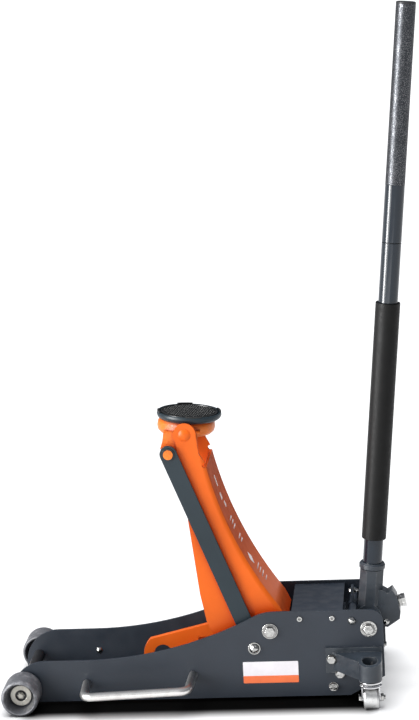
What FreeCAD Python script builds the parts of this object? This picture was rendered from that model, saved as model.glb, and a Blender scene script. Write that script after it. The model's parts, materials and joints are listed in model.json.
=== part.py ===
import FreeCAD, Part
import math
import os
import Sketcher

# Low-profile hydraulic trolley jack.  Millimetres, +X towards the handle, +Z up.
# Every x below is measured from the front axle; axle_x moves it into the row frame.

SIZES = {
    # frame
    "axle_x": -350, "plate_gap": 171, "plate_thick": 5, "plate_bottom": 6,
    "beam_top": 80, "frame_top": 161, "plate_rear": 638, "nose_x": 37, "nose_arc": 60,
    "slope_start": 108, "slope_arc": 670, "shoulder_arc": 75, "rear_corner": 22,
    "rear_cut_x": 577, "rear_cut_z": 40,
    # front wheels
    "wheel_radius": 33, "wheel_width": 57, "wheel_gap": 4, "axle_radius": 10,
    # lift arm
    "pivot_x": 440.5, "pivot_z": 127, "shaft_radius": 12, "arm_length": 375.5,
    "arm_angle": 69.2, "arm_width": 136, "arm_plate": 6, "web_thick": 5, "lever_radius": 65,
    "saddle_pin_radius": 9, "drive_pin_radius": 8,
    # link bars
    "link_dx": -29, "link_dz": -31, "link_half": 15, "link_thick": 5, "link_inner": 73,
    "link_pin_radius": 7, "trunnion_radius": 8.5,
    # saddle
    "saddle_radius": 57, "saddle_top": 28.7, "spigot_radius": 12, "saddle_tilt": 4.5, "flange_radius": 51,
    # ram and yoke
    "eye_x": 240.7, "eye_z": 61.9, "eye_bore": 16, "tongue_rear": 306, "tongue_thick": 12,
    "yoke_inner": 50, "yoke_thick": 6, "bar_x": 290, "bar_z": 64, "bar_radius": 10,
    "ram_z": 66, "rod_radius": 14, "cylinder_radius": 23, "cylinder_front": 400,
    "pump_front": 505, "pump_rear": 570, "pump_half": 46,
    # handle
    "handle_x": 612.6, "handle_z": 127, "handle_lean": 5.51, "handle_radius": 17, "handle_bottom": 28,
    "handle_joint": 667, "grip_start": 767, "handle_top": 1077, "sleeve_start": 138, "sleeve_end": 562,
    "sleeve_radius": 21.5, "handle_shaft": 10, "socket_half": 20.75, "socket_top": 94,
    "cam_drop": 21, "cam_radius": 7,
    # casters
    "caster_x": 614, "caster_y": 150, "caster_boss": 20, "boss_bottom": 55, "kingpin_radius": 5,
    "fork_top": 48.7, "trail": 9, "caster_radius": 19.5, "caster_width": 26, "caster_axle": 4,
    # carry handles
    "carry_reach": 70, "carry_radius": 7.5,
}

V = FreeCAD.Vector
RUN = 0.05          # running clearance on a radius
EASE = 0.1          # clearance round a fixed pin or screw

doc = FreeCAD.newDocument("trolley_jack")
sheet = doc.addObject("Spreadsheet::Sheet", "dims")
for row, (alias, number) in enumerate(SIZES.items(), start=1):
    sheet.set(f"A{row}", alias)
    sheet.set(f"B{row}", str(number))
    sheet.setAlias(f"B{row}", alias)
doc.recompute()


class Size:
    """A length or angle together with the spreadsheet expression that it comes from."""

    def __init__(self, value, text):
        self.value = float(value)
        self.text = text

    def __add__(self, other):
        other = size(other)
        return Size(self.value + other.value, f"({self.text} + {other.text})")

    def __sub__(self, other):
        other = size(other)
        return Size(self.value - other.value, f"({self.text} - {other.text})")

    def __mul__(self, other):
        other = size(other)
        return Size(self.value * other.value, f"({self.text} * {other.text})")

    def __truediv__(self, other):
        other = size(other)
        return Size(self.value / other.value, f"({self.text} / {other.text})")

    def __neg__(self):
        return Size(-self.value, f"(-1 * {self.text})")

    __radd__ = __add__
    __rmul__ = __mul__

    def __rsub__(self, other):
        return size(other) - self


def size(x):
    return x if isinstance(x, Size) else Size(x, repr(round(float(x), 6)))


class Sheet:
    def __getattr__(self, alias):
        return Size(SIZES[alias], f"dims.{alias}")


def sin(a):
    a = size(a)
    return Size(math.sin(math.radians(a.value)), f"sin({a.text})")


def cos(a):
    a = size(a)
    return Size(math.cos(math.radians(a.value)), f"cos({a.text})")


d = Sheet()
NODES = []


def bind(obj, prop, quantity):
    """Drive a property by an expression on the sheet."""
    obj.setExpression(prop, size(quantity).text)


TURN = {
    "z": FreeCAD.Rotation(),
    "x": FreeCAD.Rotation(V(0, 1, 0), 90),
    "y": FreeCAD.Rotation(V(1, 0, 0), -90),
}


def put(obj, x, y, z, rotation=None):
    """Place an object: x is from the front axle, y from the middle plane, z from the floor."""
    if rotation is not None:
        obj.Placement = FreeCAD.Placement(V(), rotation)
    bind(obj, "Placement.Base.x", size(x) + d.axle_x)
    bind(obj, "Placement.Base.y", y)
    bind(obj, "Placement.Base.z", z)
    return obj


def node(obj, label):
    """Name a finished sub-part; its label is its file name."""
    obj.Label = label
    NODES.append(obj)
    return obj


def box(x, y, z, length, width, height):
    """A block from its low corner (x, y, z)."""
    b = doc.addObject("Part::Box", "Block")
    bind(b, "Length", length)
    bind(b, "Width", width)
    bind(b, "Height", height)
    return put(b, x, y, z)


def rod(axis, radius, length, x, y, z):
    """A round bar that starts at (x, y, z) and runs along +axis."""
    c = doc.addObject("Part::Cylinder", "Rod")
    bind(c, "Radius", radius)
    bind(c, "Height", length)
    return put(c, x, y, z, TURN[axis])


def hexagon(axis, radius, length, x, y, z):
    """A six-sided head or nut along +axis; radius is to its corners."""
    h = doc.addObject("Part::Prism", "Hexagon")
    h.Polygon = 6
    bind(h, "Circumradius", radius)
    bind(h, "Height", length)
    return put(h, x, y, z, TURN[axis])


def dome(axis, radius, height, x, y, z, flip=False):
    """A domed head: a slice of a sphere standing on the plane through (x, y, z)."""
    s = doc.addObject("Part::Sphere", "Dome")
    r, t = size(radius), size(height)
    ball = (r * r + t * t) / (2 * t)
    bind(s, "Radius", ball)
    sign = -1 if flip else 1
    back = {"x": (sign, 0, 0), "y": (0, sign, 0), "z": (0, 0, sign)}[axis]
    sink = ball - t
    put(s, x - sink * back[0], y - sink * back[1], z - sink * back[2])
    keep = rod(axis, r + 1, t + 1, x, y, z)
    if flip:
        keep = rod(axis, r + 1, t + 1, x - (t + 1) * abs(back[0]), y - (t + 1) * abs(back[1]),
                   z - (t + 1) * abs(back[2]))
    both = doc.addObject("Part::Common", "DomeHead")
    both.Base = s
    both.Tool = keep
    return both


def cut(base, *tools):
    """base with each tool taken away."""
    for tool in tools:
        c = doc.addObject("Part::Cut", "Cut")
        c.Base = base
        c.Tool = tool
        base = c
    return base


def fuse(*shapes):
    f = doc.addObject("Part::MultiFuse", "Joined")
    f.Shapes = list(shapes)
    f.Refine = True
    return f


def group(*shapes):
    """Identical or related loose pieces kept in one node as separate solids."""
    c = doc.addObject("Part::Compound", "Group")
    c.Links = list(shapes)
    return c


def ring(axis, outer, inner, length, x, y, z):
    """A washer, bush or tube."""
    hole = rod(axis, inner, size(length) + 2, *[size(p) - (1 if axis == a else 0)
                                                for a, p in zip("xyz", (x, y, z))])
    return cut(rod(axis, outer, length, x, y, z), hole)


def mirrored(obj):
    """The same piece on the other side of the middle plane."""
    m = doc.addObject("Part::Mirroring", "Mirrored")
    m.Source = obj
    m.Normal = V(0, 1, 0)
    return m


def both_sides(make):
    """A group of the near and far piece; make(side) gets -1 for near and 1 for far."""
    return [make(-1), make(1)]


def from_face(side, inner, length):
    """The low y of a piece whose inner face is at |y| = inner on the given side."""
    return size(inner) if side > 0 else -(size(inner) + length)


# ---------------------------------------------------------------- sketched bodies

def plane(body, role):
    for feature in body.Origin.OriginFeatures:
        if feature.Role == role:
            return feature
    raise ValueError(role)


def new_sketch(body, role):
    sketch = body.newObject("Sketcher::SketchObject", "Profile")
    sketch.AttachmentSupport = [(plane(body, role), "")]
    sketch.MapMode = "FlatFace"
    return sketch


def pin_point(sketch, geometry, end, point):
    """Hold one end of a line or arc at its coordinates, driven by the sheet."""
    for kind, axis_line, coordinate in (("DistanceX", -2, point[0]), ("DistanceY", -1, point[1])):
        coordinate = size(coordinate)
        if abs(coordinate.value) < 1e-9:
            sketch.addConstraint(Sketcher.Constraint("PointOnObject", geometry, end, axis_line))
            continue
        index = sketch.addConstraint(Sketcher.Constraint(kind, geometry, end, coordinate.value))
        if "dims." in coordinate.text:
            sketch.setExpression(f"Constraints[{index}]", coordinate.text)


def outline(sketch, start, *steps):
    """Draw a closed outline.  A step is (x, z) for a line or (mid x, mid z, x, z) for an arc."""
    here = start
    first = sketch.GeometryCount
    ends = []
    last = V(size(steps[-1][-2]).value, size(steps[-1][-1]).value, 0)
    closed = (last - V(size(start[0]).value, size(start[1]).value, 0)).Length < 1e-6
    for step in steps if closed else steps + (start,):
        there = step[-2:]
        a, b = [V(size(p[0]).value, size(p[1]).value, 0) for p in (here, there)]
        if len(step) == 4:
            middle = V(size(step[0]).value, size(step[1]).value, 0)
            clockwise = (middle - a).cross(b - middle).z < 0
            arc = Part.Arc(b, middle, a) if clockwise else Part.Arc(a, middle, b)
            index = sketch.addGeometry(arc)
            ends.append((2, 1) if clockwise else (1, 2))
        else:
            index = sketch.addGeometry(Part.LineSegment(a, b))
            ends.append((1, 2))
        pin_point(sketch, index, ends[-1][0], here)
        here = there
    total = len(ends)
    for i in range(total):
        following = (i + 1) % total
        sketch.addConstraint(Sketcher.Constraint("Coincident", first + i, ends[i][1],
                                                 first + following, ends[following][0]))


def circle(sketch, x, z, radius):
    radius = size(radius)
    index = sketch.addGeometry(Part.Circle(V(size(x).value, size(z).value, 0), V(0, 0, 1), radius.value))
    pin_point(sketch, index, 3, (x, z))
    number = sketch.addConstraint(Sketcher.Constraint("Radius", index, radius.value))
    if "dims." in radius.text:
        sketch.setExpression(f"Constraints[{number}]", radius.text)


def pad(body, sketch, length):
    feature = body.newObject("PartDesign::Pad", "Pad")
    feature.Profile = sketch
    feature.Midplane = True
    bind(feature, "Length", length)
    return feature


def pocket(body, sketch, length):
    feature = body.newObject("PartDesign::Pocket", "Pocket")
    feature.Profile = sketch
    feature.Midplane = True
    bind(feature, "Length", length)
    return feature


def sheet_part(draw, thickness, x, y, z, rotation=None, role="XZ_Plane"):
    """A flat plate: draw(sketch) gives its outline, and it is padded evenly about its plane."""
    body = doc.addObject("PartDesign::Body", "Plate")
    sketch = new_sketch(body, role)
    draw(sketch)
    pad(body, sketch, thickness)
    put(body, x, y, z, rotation)
    return body


def turned(start, *steps, at, rotation=None, sweep=360):
    """A turned piece: the outline is (radius, height), spun about its own axis."""
    body = doc.addObject("PartDesign::Body", "Turned")
    sketch = new_sketch(body, "XZ_Plane")
    outline(sketch, start, *steps)
    spin = body.newObject("PartDesign::Revolution", "Revolution")
    spin.Profile = sketch
    spin.ReferenceAxis = (sketch, ["V_Axis"])
    spin.Angle = sweep
    put(body, *at, rotation)
    return body


# ---------------------------------------------------------------- shared places

half_gap = d.plate_gap / 2
outer_face = half_gap + d.plate_thick
plate_middle = half_gap + d.plate_thick / 2

# unit vector along the raised arm (u) and the one towards its top face (w)
u_x, u_z = -cos(d.arm_angle), sin(d.arm_angle)
link_x, link_z = d.pivot_x + d.link_dx, d.pivot_z + d.link_dz
pin_x, pin_z = d.pivot_x + d.arm_length * u_x, d.pivot_z + d.arm_length * u_z
trunnion_x, trunnion_z = pin_x + d.link_dx, pin_z + d.link_dz
# sketch x runs along the arm, sketch y towards its top face
ARM_TURN = FreeCAD.Rotation(V(0, 1, 0), -(180 - SIZES["arm_angle"])).multiply(
    FreeCAD.Rotation(V(1, 0, 0), 180))
lean_turn = FreeCAD.Rotation(V(0, 1, 0), SIZES["handle_lean"])
lean_x, lean_z = sin(d.handle_lean), cos(d.handle_lean)
half_travel = 40.5
drive_x = d.pivot_x - d.lever_radius * sin(half_travel)
drive_z = d.pivot_z - d.lever_radius * cos(half_travel)
wheel_inner = outer_face + d.wheel_gap


# ---------------------------------------------------------------- frame

def side_plate(side):
    slope = math.acos((SIZES["beam_top"] + SIZES["slope_arc"] - SIZES["frame_top"] + SIZES["shoulder_arc"])
                      / (SIZES["slope_arc"] + SIZES["shoulder_arc"]))

    def on_slope(angle):
        return (d.slope_start + d.slope_arc * math.sin(angle),
                d.beam_top + d.slope_arc * (1 - math.cos(angle)))

    shoulder_x = d.slope_start + (d.slope_arc + d.shoulder_arc) * math.sin(slope)

    def on_shoulder(angle):
        return (shoulder_x - d.shoulder_arc * math.sin(angle),
                d.frame_top - d.shoulder_arc * (1 - math.cos(angle)))

    def on_nose(degrees):
        return (d.nose_x - d.nose_arc * math.sin(math.radians(degrees)),
                d.beam_top - d.nose_arc * (1 - math.cos(math.radians(degrees))))

    def on_rear(degrees):
        return (d.plate_rear - d.rear_corner * (1 - math.sin(math.radians(degrees))),
                d.frame_top - d.rear_corner * (1 - math.cos(math.radians(degrees))))

    def draw(sketch):
        low_nose = (on_nose(90)[0], d.plate_bottom + 8)
        outline(sketch, (low_nose[0] + 8, d.plate_bottom),
                (d.rear_cut_x, d.plate_bottom),
                (d.plate_rear, d.rear_cut_z),
                on_rear(90),
                on_rear(45) + on_rear(0),
                on_shoulder(0),
                on_shoulder(slope / 2) + on_shoulder(slope),
                on_slope(slope / 2) + on_slope(0),
                on_nose(0),
                on_nose(45) + on_nose(90),
                low_nose)
        circle(sketch, 0, d.wheel_radius, d.axle_radius + EASE)
        circle(sketch, d.pivot_x, d.pivot_z, d.shaft_radius + EASE)
        circle(sketch, link_x, link_z, d.link_pin_radius + EASE)
        circle(sketch, d.handle_x, d.handle_z, d.handle_shaft + EASE)
        circle(sketch, TIE_X, TIE_Z, TIE_RADIUS + EASE)
        for x, z in FRAME_BOLTS + FLANGE_BOLTS:
            circle(sketch, x, z, BOLT_RADIUS + EASE)
        for x, z in COVER_SCREWS:
            circle(sketch, x, z, SCREW_RADIUS + EASE)
        for x, z in CARRY_ENDS:
            circle(sketch, x, z, SCREW_RADIUS + EASE)

    return sheet_part(draw, d.plate_thick, 0, side * plate_middle, 0)


TIE_X, TIE_Z, TIE_RADIUS = 584, 142, 7
BOLT_RADIUS = 5
SCREW_RADIUS = 2.5
FRAME_BOLTS = [(559.5, 46), (547.3, 23)]
FLANGE_BOLTS = [(546, 75), (624, 75)]
COVER_SCREWS = [(493, 148), (549.5, 148)]
CARRY_ENDS = [(112, 38.5), (301.5, 50)]

node(side_plate(-1), "side_plate_near")
node(side_plate(1), "side_plate_far")

WHEEL_RECESS = 24
STUD_RADIUS = 4
axle_half = wheel_inner + d.wheel_width - WHEEL_RECESS - 1
node(rod("y", d.axle_radius, 2 * axle_half, 0, -axle_half, d.wheel_radius), "front_axle")


def axle_washer(side):
    """Wide washer on the axle's end, sunk in the wheel's recess."""
    y = wheel_inner + d.wheel_width - WHEEL_RECESS + 0.4
    return ring("y", 18.5, d.axle_radius + EASE, 2.5, 0, from_face(side, y, 2.5), d.wheel_radius)


def axle_nut(side):
    """Stud in the axle's end with its nut."""
    y = axle_half + 0.05
    return fuse(hexagon("y", 6.5, 4, 0, from_face(side, y, 4), d.wheel_radius),
                rod("y", STUD_RADIUS, 7, 0, from_face(side, y, 7), d.wheel_radius))


spacers = [ring("y", 16, d.axle_radius + EASE, 3.4, 0, from_face(s, outer_face + 0.2, 3.4), d.wheel_radius)
           for s in (-1, 1)]
node(group(*both_sides(axle_washer), *both_sides(axle_nut), *spacers), "axle_fittings")

# main shaft of the lift arm, with a washer and hexagon head outside each plate
node(rod("y", d.shaft_radius, 2 * outer_face + 6, d.pivot_x, -(outer_face + 3), d.pivot_z), "main_shaft")


def shaft_bolt(side):
    washer = ring("y", 14, d.shaft_radius + EASE, 2.5, d.pivot_x, from_face(side, outer_face, 2.5), d.pivot_z)
    head = hexagon("y", 9.5, 6, d.pivot_x, from_face(side, outer_face + 3.05, 6), d.pivot_z)
    return [washer, head]


SHAFT_BOLTS = shaft_bolt(-1) + shaft_bolt(1)


def link_pin(side):
    """Fixed pin for a link bar's foot, with a thin inner head and a spacer against the plate."""
    head = dome("y", 11, 3, link_x, side * (d.link_inner - 0.3), link_z, flip=side > 0)
    shank_start = d.link_inner - 0.3
    length = outer_face + 2 - shank_start
    shank = rod("y", d.link_pin_radius, length, link_x, from_face(side, shank_start, length), link_z)
    return fuse(head, shank)


def link_nut(side):
    y = outer_face + 0.1
    washer = ring("y", 11, d.link_pin_radius + EASE, 1.6, link_x, from_face(side, y, 1.6), link_z)
    cap = dome("y", 9, 7, link_x, side * (outer_face + 2.1), link_z, flip=side < 0)
    return [washer, cap]


node(group(*both_sides(link_pin)), "link_pins")
spacer_start = d.link_inner + d.link_thick + 0.3
spacer_length = half_gap - spacer_start - 0.1
link_spacers = [ring("y", 11, d.link_pin_radius + EASE, spacer_length, link_x,
                     from_face(s, spacer_start, spacer_length), link_z) for s in (-1, 1)]
node(group(*link_nut(-1), *link_nut(1), *link_spacers), "link_pin_fittings")

# cross channel that ties the plates together and carries the hydraulic unit
BASE_X, BASE_LENGTH, BASE_Z, BASE_THICK, BASE_HEIGHT = 508, 72, 12, 6, 52
channel = fuse(
    box(BASE_X, -half_gap + 0.1, BASE_Z, BASE_LENGTH, d.plate_gap - 0.2, BASE_THICK),
    *[box(BASE_X, from_face(s, half_gap - 5.1, 5), BASE_Z, BASE_LENGTH, 5, BASE_HEIGHT + 20) for s in (-1, 1)])
channel = cut(channel, *[rod("y", BOLT_RADIUS + EASE, d.plate_gap + 4, x, -half_gap - 2, z)
                         for x, z in FRAME_BOLTS + FLANGE_BOLTS[:1]])
node(channel, "cross_channel")


def hex_bolt(side, x, z, start, inner):
    """Hexagon bolt with a washer outside |y| = start and its shank in to |y| = inner."""
    washer = ring("y", 8.2, BOLT_RADIUS + EASE, 1.6, x, from_face(side, start, 1.6), z)
    head = hexagon("y", 7, 5, x, from_face(side, start + 1.65, 5), z)
    shank_length = size(start) + 1.7 - inner
    shank = rod("y", BOLT_RADIUS, shank_length, x, from_face(side, inner, shank_length), z)
    return [washer, fuse(head, shank)]


frame_bolts = []
for side in (-1, 1):
    for x, z in FRAME_BOLTS:
        frame_bolts += hex_bolt(side, x, z, outer_face + 0.05, half_gap - 4.5)
    for x, z in FLANGE_BOLTS:
        frame_bolts += hex_bolt(side, x, z, outer_face + 6.15, half_gap + 0.2)
    frame_bolts.append(dome("y", 7, 5, TIE_X, side * (outer_face + 1.05), TIE_Z, flip=side < 0))
node(group(*frame_bolts), "frame_bolts")

node(rod("y", TIE_RADIUS, 2 * outer_face + 2, TIE_X, -(outer_face + 1), TIE_Z), "rear_tie_rod")

# cover over the hydraulic unit: a top sheet with a flange down each plate
COVER_X, COVER_LENGTH, COVER_Z, COVER_THICK = 478, 90, 156, 2.5
cover = fuse(
    box(COVER_X, -half_gap + 0.2, COVER_Z - COVER_THICK, COVER_LENGTH, d.plate_gap - 0.4, COVER_THICK),
    *[box(COVER_X, from_face(s, half_gap - 2.7, 2.5), COVER_Z - 18, COVER_LENGTH, 2.5, 18) for s in (-1, 1)])
cover = cut(cover, *[rod("y", SCREW_RADIUS + EASE, d.plate_gap + 4, x, -half_gap - 2, z)
                     for x, z in COVER_SCREWS])
node(cover, "cover_plate")


def socket_screw(side, x, z, start, inner):
    """Cap screw with a hexagon socket in its head."""
    head = rod("y", 4.5, 3, x, from_face(side, start, 3), z)
    recess = hexagon("y", 2.4, 2, x, from_face(side, size(start) + 1.5, 2), z)
    length = size(start) + 0.1 - inner
    shank = rod("y", SCREW_RADIUS, length, x, from_face(side, inner, length), z)
    return fuse(cut(head, recess), shank)


cover_screws = [socket_screw(s, x, z, outer_face + 0.05, half_gap - 3.5) for s in (-1, 1)
                for x, z in COVER_SCREWS]

# ---------------------------------------------------------------- hydraulic unit

PUMP_Z, PUMP_HEIGHT = 18.2, 116
plunger_z = d.handle_z - d.cam_drop
PLUNGER_RADIUS = 7
PLUNGER_DEPTH = 34
VALVE_Y, VALVE_Z, VALVE_RADIUS = 26, 62, 6
pump = box(d.pump_front, -d.pump_half, PUMP_Z, d.pump_rear - d.pump_front, 2 * d.pump_half, PUMP_HEIGHT)
pump_round = doc.addObject("Part::Fillet", "PumpEdges")
pump_round.Base = pump
doc.recompute()
pump_round.Edges = [(i + 1, 6, 6) for i, e in enumerate(pump.Shape.Edges)
                    if abs(e.tangentAt(e.FirstParameter).x) > 0.9]
GLAND_LENGTH = 6
gland = rod("x", 13, GLAND_LENGTH, d.pump_rear - 0.1, 0, plunger_z)
valve_gland = rod("x", 11, GLAND_LENGTH, d.pump_rear - 0.1, VALVE_Y, VALVE_Z)
node(cut(fuse(pump_round, gland, valve_gland),
         rod("x", PLUNGER_RADIUS + RUN, PLUNGER_DEPTH + 20, d.pump_rear - PLUNGER_DEPTH, 0, plunger_z),
         rod("x", VALVE_RADIUS + RUN, 40, d.pump_rear - 20, VALVE_Y, VALVE_Z)), "pump_body")

cylinder_length = d.pump_front - 0.1 - d.cylinder_front
node(cut(fuse(rod("x", d.cylinder_radius, cylinder_length, d.cylinder_front, 0, d.ram_z),
              rod("x", 20, 10, d.cylinder_front - 8, 0, d.ram_z)),
         rod("x", d.rod_radius + RUN, cylinder_length + 8, d.cylinder_front - 10, 0, d.ram_z)), "ram_cylinder")

# ---------------------------------------------------------------- ram, yoke and its springs

ROD_END = 418
node(rod("x", d.rod_radius, ROD_END - d.tongue_rear - RUN, d.tongue_rear + RUN, 0, d.ram_z), "piston_rod")

TONGUE_BOTTOM = 38


def tongue_outline(sketch):
    """Tongue in front of the rod: sloping top that overhangs the rod, rounded nose with an eye."""
    outline(sketch, (206, 58), (209.9, 77.4, 219, 89.2), (340, 118.5), (340, 91), (d.tongue_rear, 91),
            (d.tongue_rear, TONGUE_BOTTOM), (222, TONGUE_BOTTOM), (211, 46, 206, 58))
    circle(sketch, d.eye_x, d.eye_z, d.eye_bore)


bar_half = d.yoke_inner - RUN
tongue = fuse(sheet_part(tongue_outline, d.tongue_thick, 0, 0, 0),
              rod("y", d.bar_radius, 2 * bar_half, d.bar_x, -bar_half, d.bar_z))
node(tongue, "yoke_tongue")

SLOT_HALF = 10
CHEEK_BOTTOM = 44


def yoke_plate(side):
    """Low side plate of the ram yoke: from the cross bar back to a slot for the arm's drive pin."""
    slot_low = d.pivot_z - d.lever_radius - SLOT_HALF
    slot_high = drive_z + SLOT_HALF
    rear = drive_x + 22
    nose = d.bar_radius + 1

    def draw(sketch):
        outline(sketch, (d.bar_x - nose, d.bar_z), (d.bar_x - nose, CHEEK_BOTTOM + 8),
                (d.bar_x - nose + 8, CHEEK_BOTTOM), (rear - 8, CHEEK_BOTTOM), (rear, CHEEK_BOTTOM + 8),
                (rear, slot_high), (rear - 8, slot_high + 8), (370, slot_high + 8), (340, 90),
                (d.bar_x, d.bar_z + nose),
                (d.bar_x - nose * cos(45), d.bar_z + nose * sin(45), d.bar_x - nose, d.bar_z))
        outline(sketch, (drive_x - SLOT_HALF, slot_low + SLOT_HALF),
                (drive_x, slot_low, drive_x + SLOT_HALF, slot_low + SLOT_HALF),
                (drive_x + SLOT_HALF, slot_high - SLOT_HALF),
                (drive_x, slot_high, drive_x - SLOT_HALF, slot_high - SLOT_HALF))

    return sheet_part(draw, d.yoke_thick, 0, side * (d.yoke_inner + d.yoke_thick / 2), 0)


node(yoke_plate(-1), "yoke_plate_near")
node(yoke_plate(1), "yoke_plate_far")

SPRING_Y, SPRING_Z, SPRING_RADIUS = 39, 62, 6
spring_start = d.bar_x + d.bar_radius + 0.5
for side, name in ((-1, "near"), (1, "far")):
    spring_length = d.pump_front - 0.1 - spring_start
    node(ring("x", SPRING_RADIUS, SPRING_RADIUS - 2, spring_length, spring_start, side * SPRING_Y, SPRING_Z),
         f"return_spring_{name}")

# ---------------------------------------------------------------- lift arm

TOP_LOW = (24, 29)
TOP_MID = (168, 5.8)
TOP_HIGH = (312, 13)
END_RADIUS = 20
BEND_RADIUS = 9


def arm_top(u):
    """Height of the arm's hollowed top edge above the line of its pivots."""
    (x1, y1), (x2, y2), (x3, y3) = TOP_LOW, TOP_MID, TOP_HIGH
    a, b, c = V(x1, y1, 0), V(x2, y2, 0), V(x3, y3, 0)
    ring_edge = Part.Arc(a, b, c)
    centre, radius = ring_edge.Center, ring_edge.Radius
    return centre.y - math.sqrt(radius ** 2 - (u - centre.x) ** 2)


def drive_place():
    """The drive pin's place along and across the arm."""
    dx, dz = drive_x.value - SIZES["pivot_x"], drive_z.value - SIZES["pivot_z"]
    along = dx * u_x.value + dz * u_z.value
    across = dx * u_z.value - dz * u_x.value
    return along, across


def lift_arm():
    along, across = drive_place()
    body = doc.addObject("PartDesign::Body", "Arm")
    sketch = new_sketch(body, "XZ_Plane")

    def saddle_end(degrees):
        return (d.arm_length + END_RADIUS * math.cos(math.radians(degrees)),
                END_RADIUS * math.sin(math.radians(degrees)))

    def drive_end(degrees):
        return (along + 16 * math.cos(math.radians(degrees)), across + 16 * math.sin(math.radians(degrees)))

    outline(sketch, drive_end(285), (0, -88), (30, -100), (52, -100), (102, -91),
            saddle_end(255), saddle_end(0) + saddle_end(112), (336, 9.5), TOP_HIGH,
            TOP_MID + TOP_LOW, (-6, 30), (-26, 18), (-30, -2), drive_end(165),
            drive_end(225) + drive_end(285))
    block = pad(body, sketch, d.arm_width)
    doc.recompute()
    bend = body.newObject("PartDesign::Fillet", "Bend")
    bend.Base = (block, top_edges(block.Shape))
    bend.Radius = BEND_RADIUS
    doc.recompute()
    hollow = new_sketch(body, "XZ_Plane")
    outline(hollow, (-90, -140), (430, -140), (430, 60), (312, 60), (312, 13 - d.web_thick),
            (168, 5.8 - d.web_thick, 24, 29 - d.web_thick), (-5, 30 - d.web_thick), (-5, 60), (-90, 60))
    pocket(body, hollow, d.arm_width - 2 * d.arm_plate)
    put(body, d.pivot_x, 0, d.pivot_z, ARM_TURN)
    return body


def top_edges(shape):
    """The two long edges where the arm's web bends down into its side plates."""
    names = []
    for index, edge in enumerate(shape.Edges, start=1):
        ends = [v.Point for v in edge.Vertexes]
        outside = all(abs(abs(p.y) - SIZES["arm_width"] / 2) < 1e-6 for p in ends)
        if outside and {round(p.x) for p in ends} == {TOP_LOW[0], TOP_HIGH[0]}:
            names.append(f"Edge{index}")
    return names


arm_body = lift_arm()


def arm_hub(side):
    start, length = 58, half_gap - 58 - 0.3
    return rod("y", 18, length, d.pivot_x, from_face(side, start, length), d.pivot_z)


RELIEF_ALONG, RELIEF_ACROSS, RELIEF_RADIUS = 312.5, 10.5, 4.5
relief_x = d.pivot_x + RELIEF_ALONG * u_x + RELIEF_ACROSS * u_z
relief_z = d.pivot_z + RELIEF_ALONG * u_z - RELIEF_ACROSS * u_x
arm = cut(fuse(arm_body, arm_hub(-1), arm_hub(1)),
          rod("y", RELIEF_RADIUS, d.arm_width + 2, relief_x, -(d.arm_width / 2 + 1), relief_z),
          rod("y", d.shaft_radius + RUN, d.plate_gap + 2, d.pivot_x, -half_gap - 1, d.pivot_z),
          rod("y", d.saddle_pin_radius + EASE, d.arm_width + 2, pin_x, -(d.arm_width / 2 + 1), pin_z),
          rod("y", d.drive_pin_radius + EASE, d.arm_width + 2, drive_x, -(d.arm_width / 2 + 1), drive_z))
node(arm, "lift_arm")

arm_half = d.arm_width / 2
saddle_pin = fuse(rod("y", d.saddle_pin_radius, d.arm_width + 0.4, pin_x, -(arm_half + 0.2), pin_z),
                  *[dome("y", 11, 4, pin_x, s * (arm_half + 0.1), pin_z, flip=s < 0) for s in (-1, 1)])


def drive_pin(side):
    """Short pin from the arm's side plate into the yoke's slot."""
    start = d.yoke_inner - 2
    length = arm_half + 0.1 - start
    return rod("y", d.drive_pin_radius, length, drive_x, from_face(side, start, length), drive_z)


node(group(saddle_pin, *both_sides(drive_pin)), "arm_pins")

# ---------------------------------------------------------------- link bars

link_length = d.arm_length


def link_bar(side):
    def draw(sketch):
        outline(sketch, (0, -d.link_half), (link_length, -d.link_half),
                (link_length + d.link_half, 0, link_length, d.link_half),
                (0, d.link_half), (-d.link_half, 0, 0, -d.link_half))
        circle(sketch, 0, 0, d.link_pin_radius + RUN)
        circle(sketch, link_length, 0, d.trunnion_radius + RUN)

    return sheet_part(draw, d.link_thick, link_x, side * (d.link_inner + d.link_thick / 2), link_z, ARM_TURN)


node(link_bar(-1), "link_bar_near")
node(link_bar(1), "link_bar_far")

# ---------------------------------------------------------------- saddle bracket and saddle

SADDLE_ACROSS = 2
LUG_HEIGHT, LUG_SWEEP = 2.2, 30

bracket_half = arm_half - d.arm_plate - 1
flange_top = d.saddle_top - 13.5
tilt_turn = FreeCAD.Rotation(V(0, 1, 0), SIZES["saddle_tilt"])
tilt_x, tilt_z = sin(d.saddle_tilt), cos(d.saddle_tilt)


def on_saddle(across, height):
    """A place across and up the tilted saddle's axis, from the saddle pin."""
    return (pin_x + across * tilt_z + height * tilt_x, 0, pin_z + height * tilt_z - across * tilt_x)


fr = d.flange_radius
flange = turned((0, -27), (34, -27), (fr - 6.5, -24.5), (fr - 1.5, -19.5), (fr, -13), (fr - 1, -5), (fr - 4, 0),
                (0, 0), at=on_saddle(-2.5, flange_top), rotation=tilt_turn)
barrel = rod("y", 14, 2 * bracket_half, pin_x, -bracket_half, pin_z)


def ear_outline(sketch):
    """Web from the pivot barrel down to the trunnions."""
    outline(sketch, (-37, 4), (-39.5, -11), (-44, -24), (d.link_dx - 11, d.link_dz), (d.link_dx, d.link_dz - 11,
            d.link_dx + 11, d.link_dz), (-4, -20), (20, -13), (26, 2))


ear = sheet_part(ear_outline, 2 * bracket_half, pin_x, 0, pin_z)
trunnion_boss = 2 * (d.link_inner - 0.5)
boss = rod("y", 11, trunnion_boss, trunnion_x, -trunnion_boss / 2, trunnion_z)
trunnion_half = d.link_inner + d.link_thick + 4
trunnion = rod("y", d.trunnion_radius, 2 * trunnion_half, trunnion_x, -trunnion_half, trunnion_z)


def tilted_rod(radius, length, across, height):
    """A bar along the tilted saddle's axis."""
    obj = rod("z", radius, length, 0, 0, 0)
    return put(obj, *on_saddle(across, height), tilt_turn)


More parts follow.
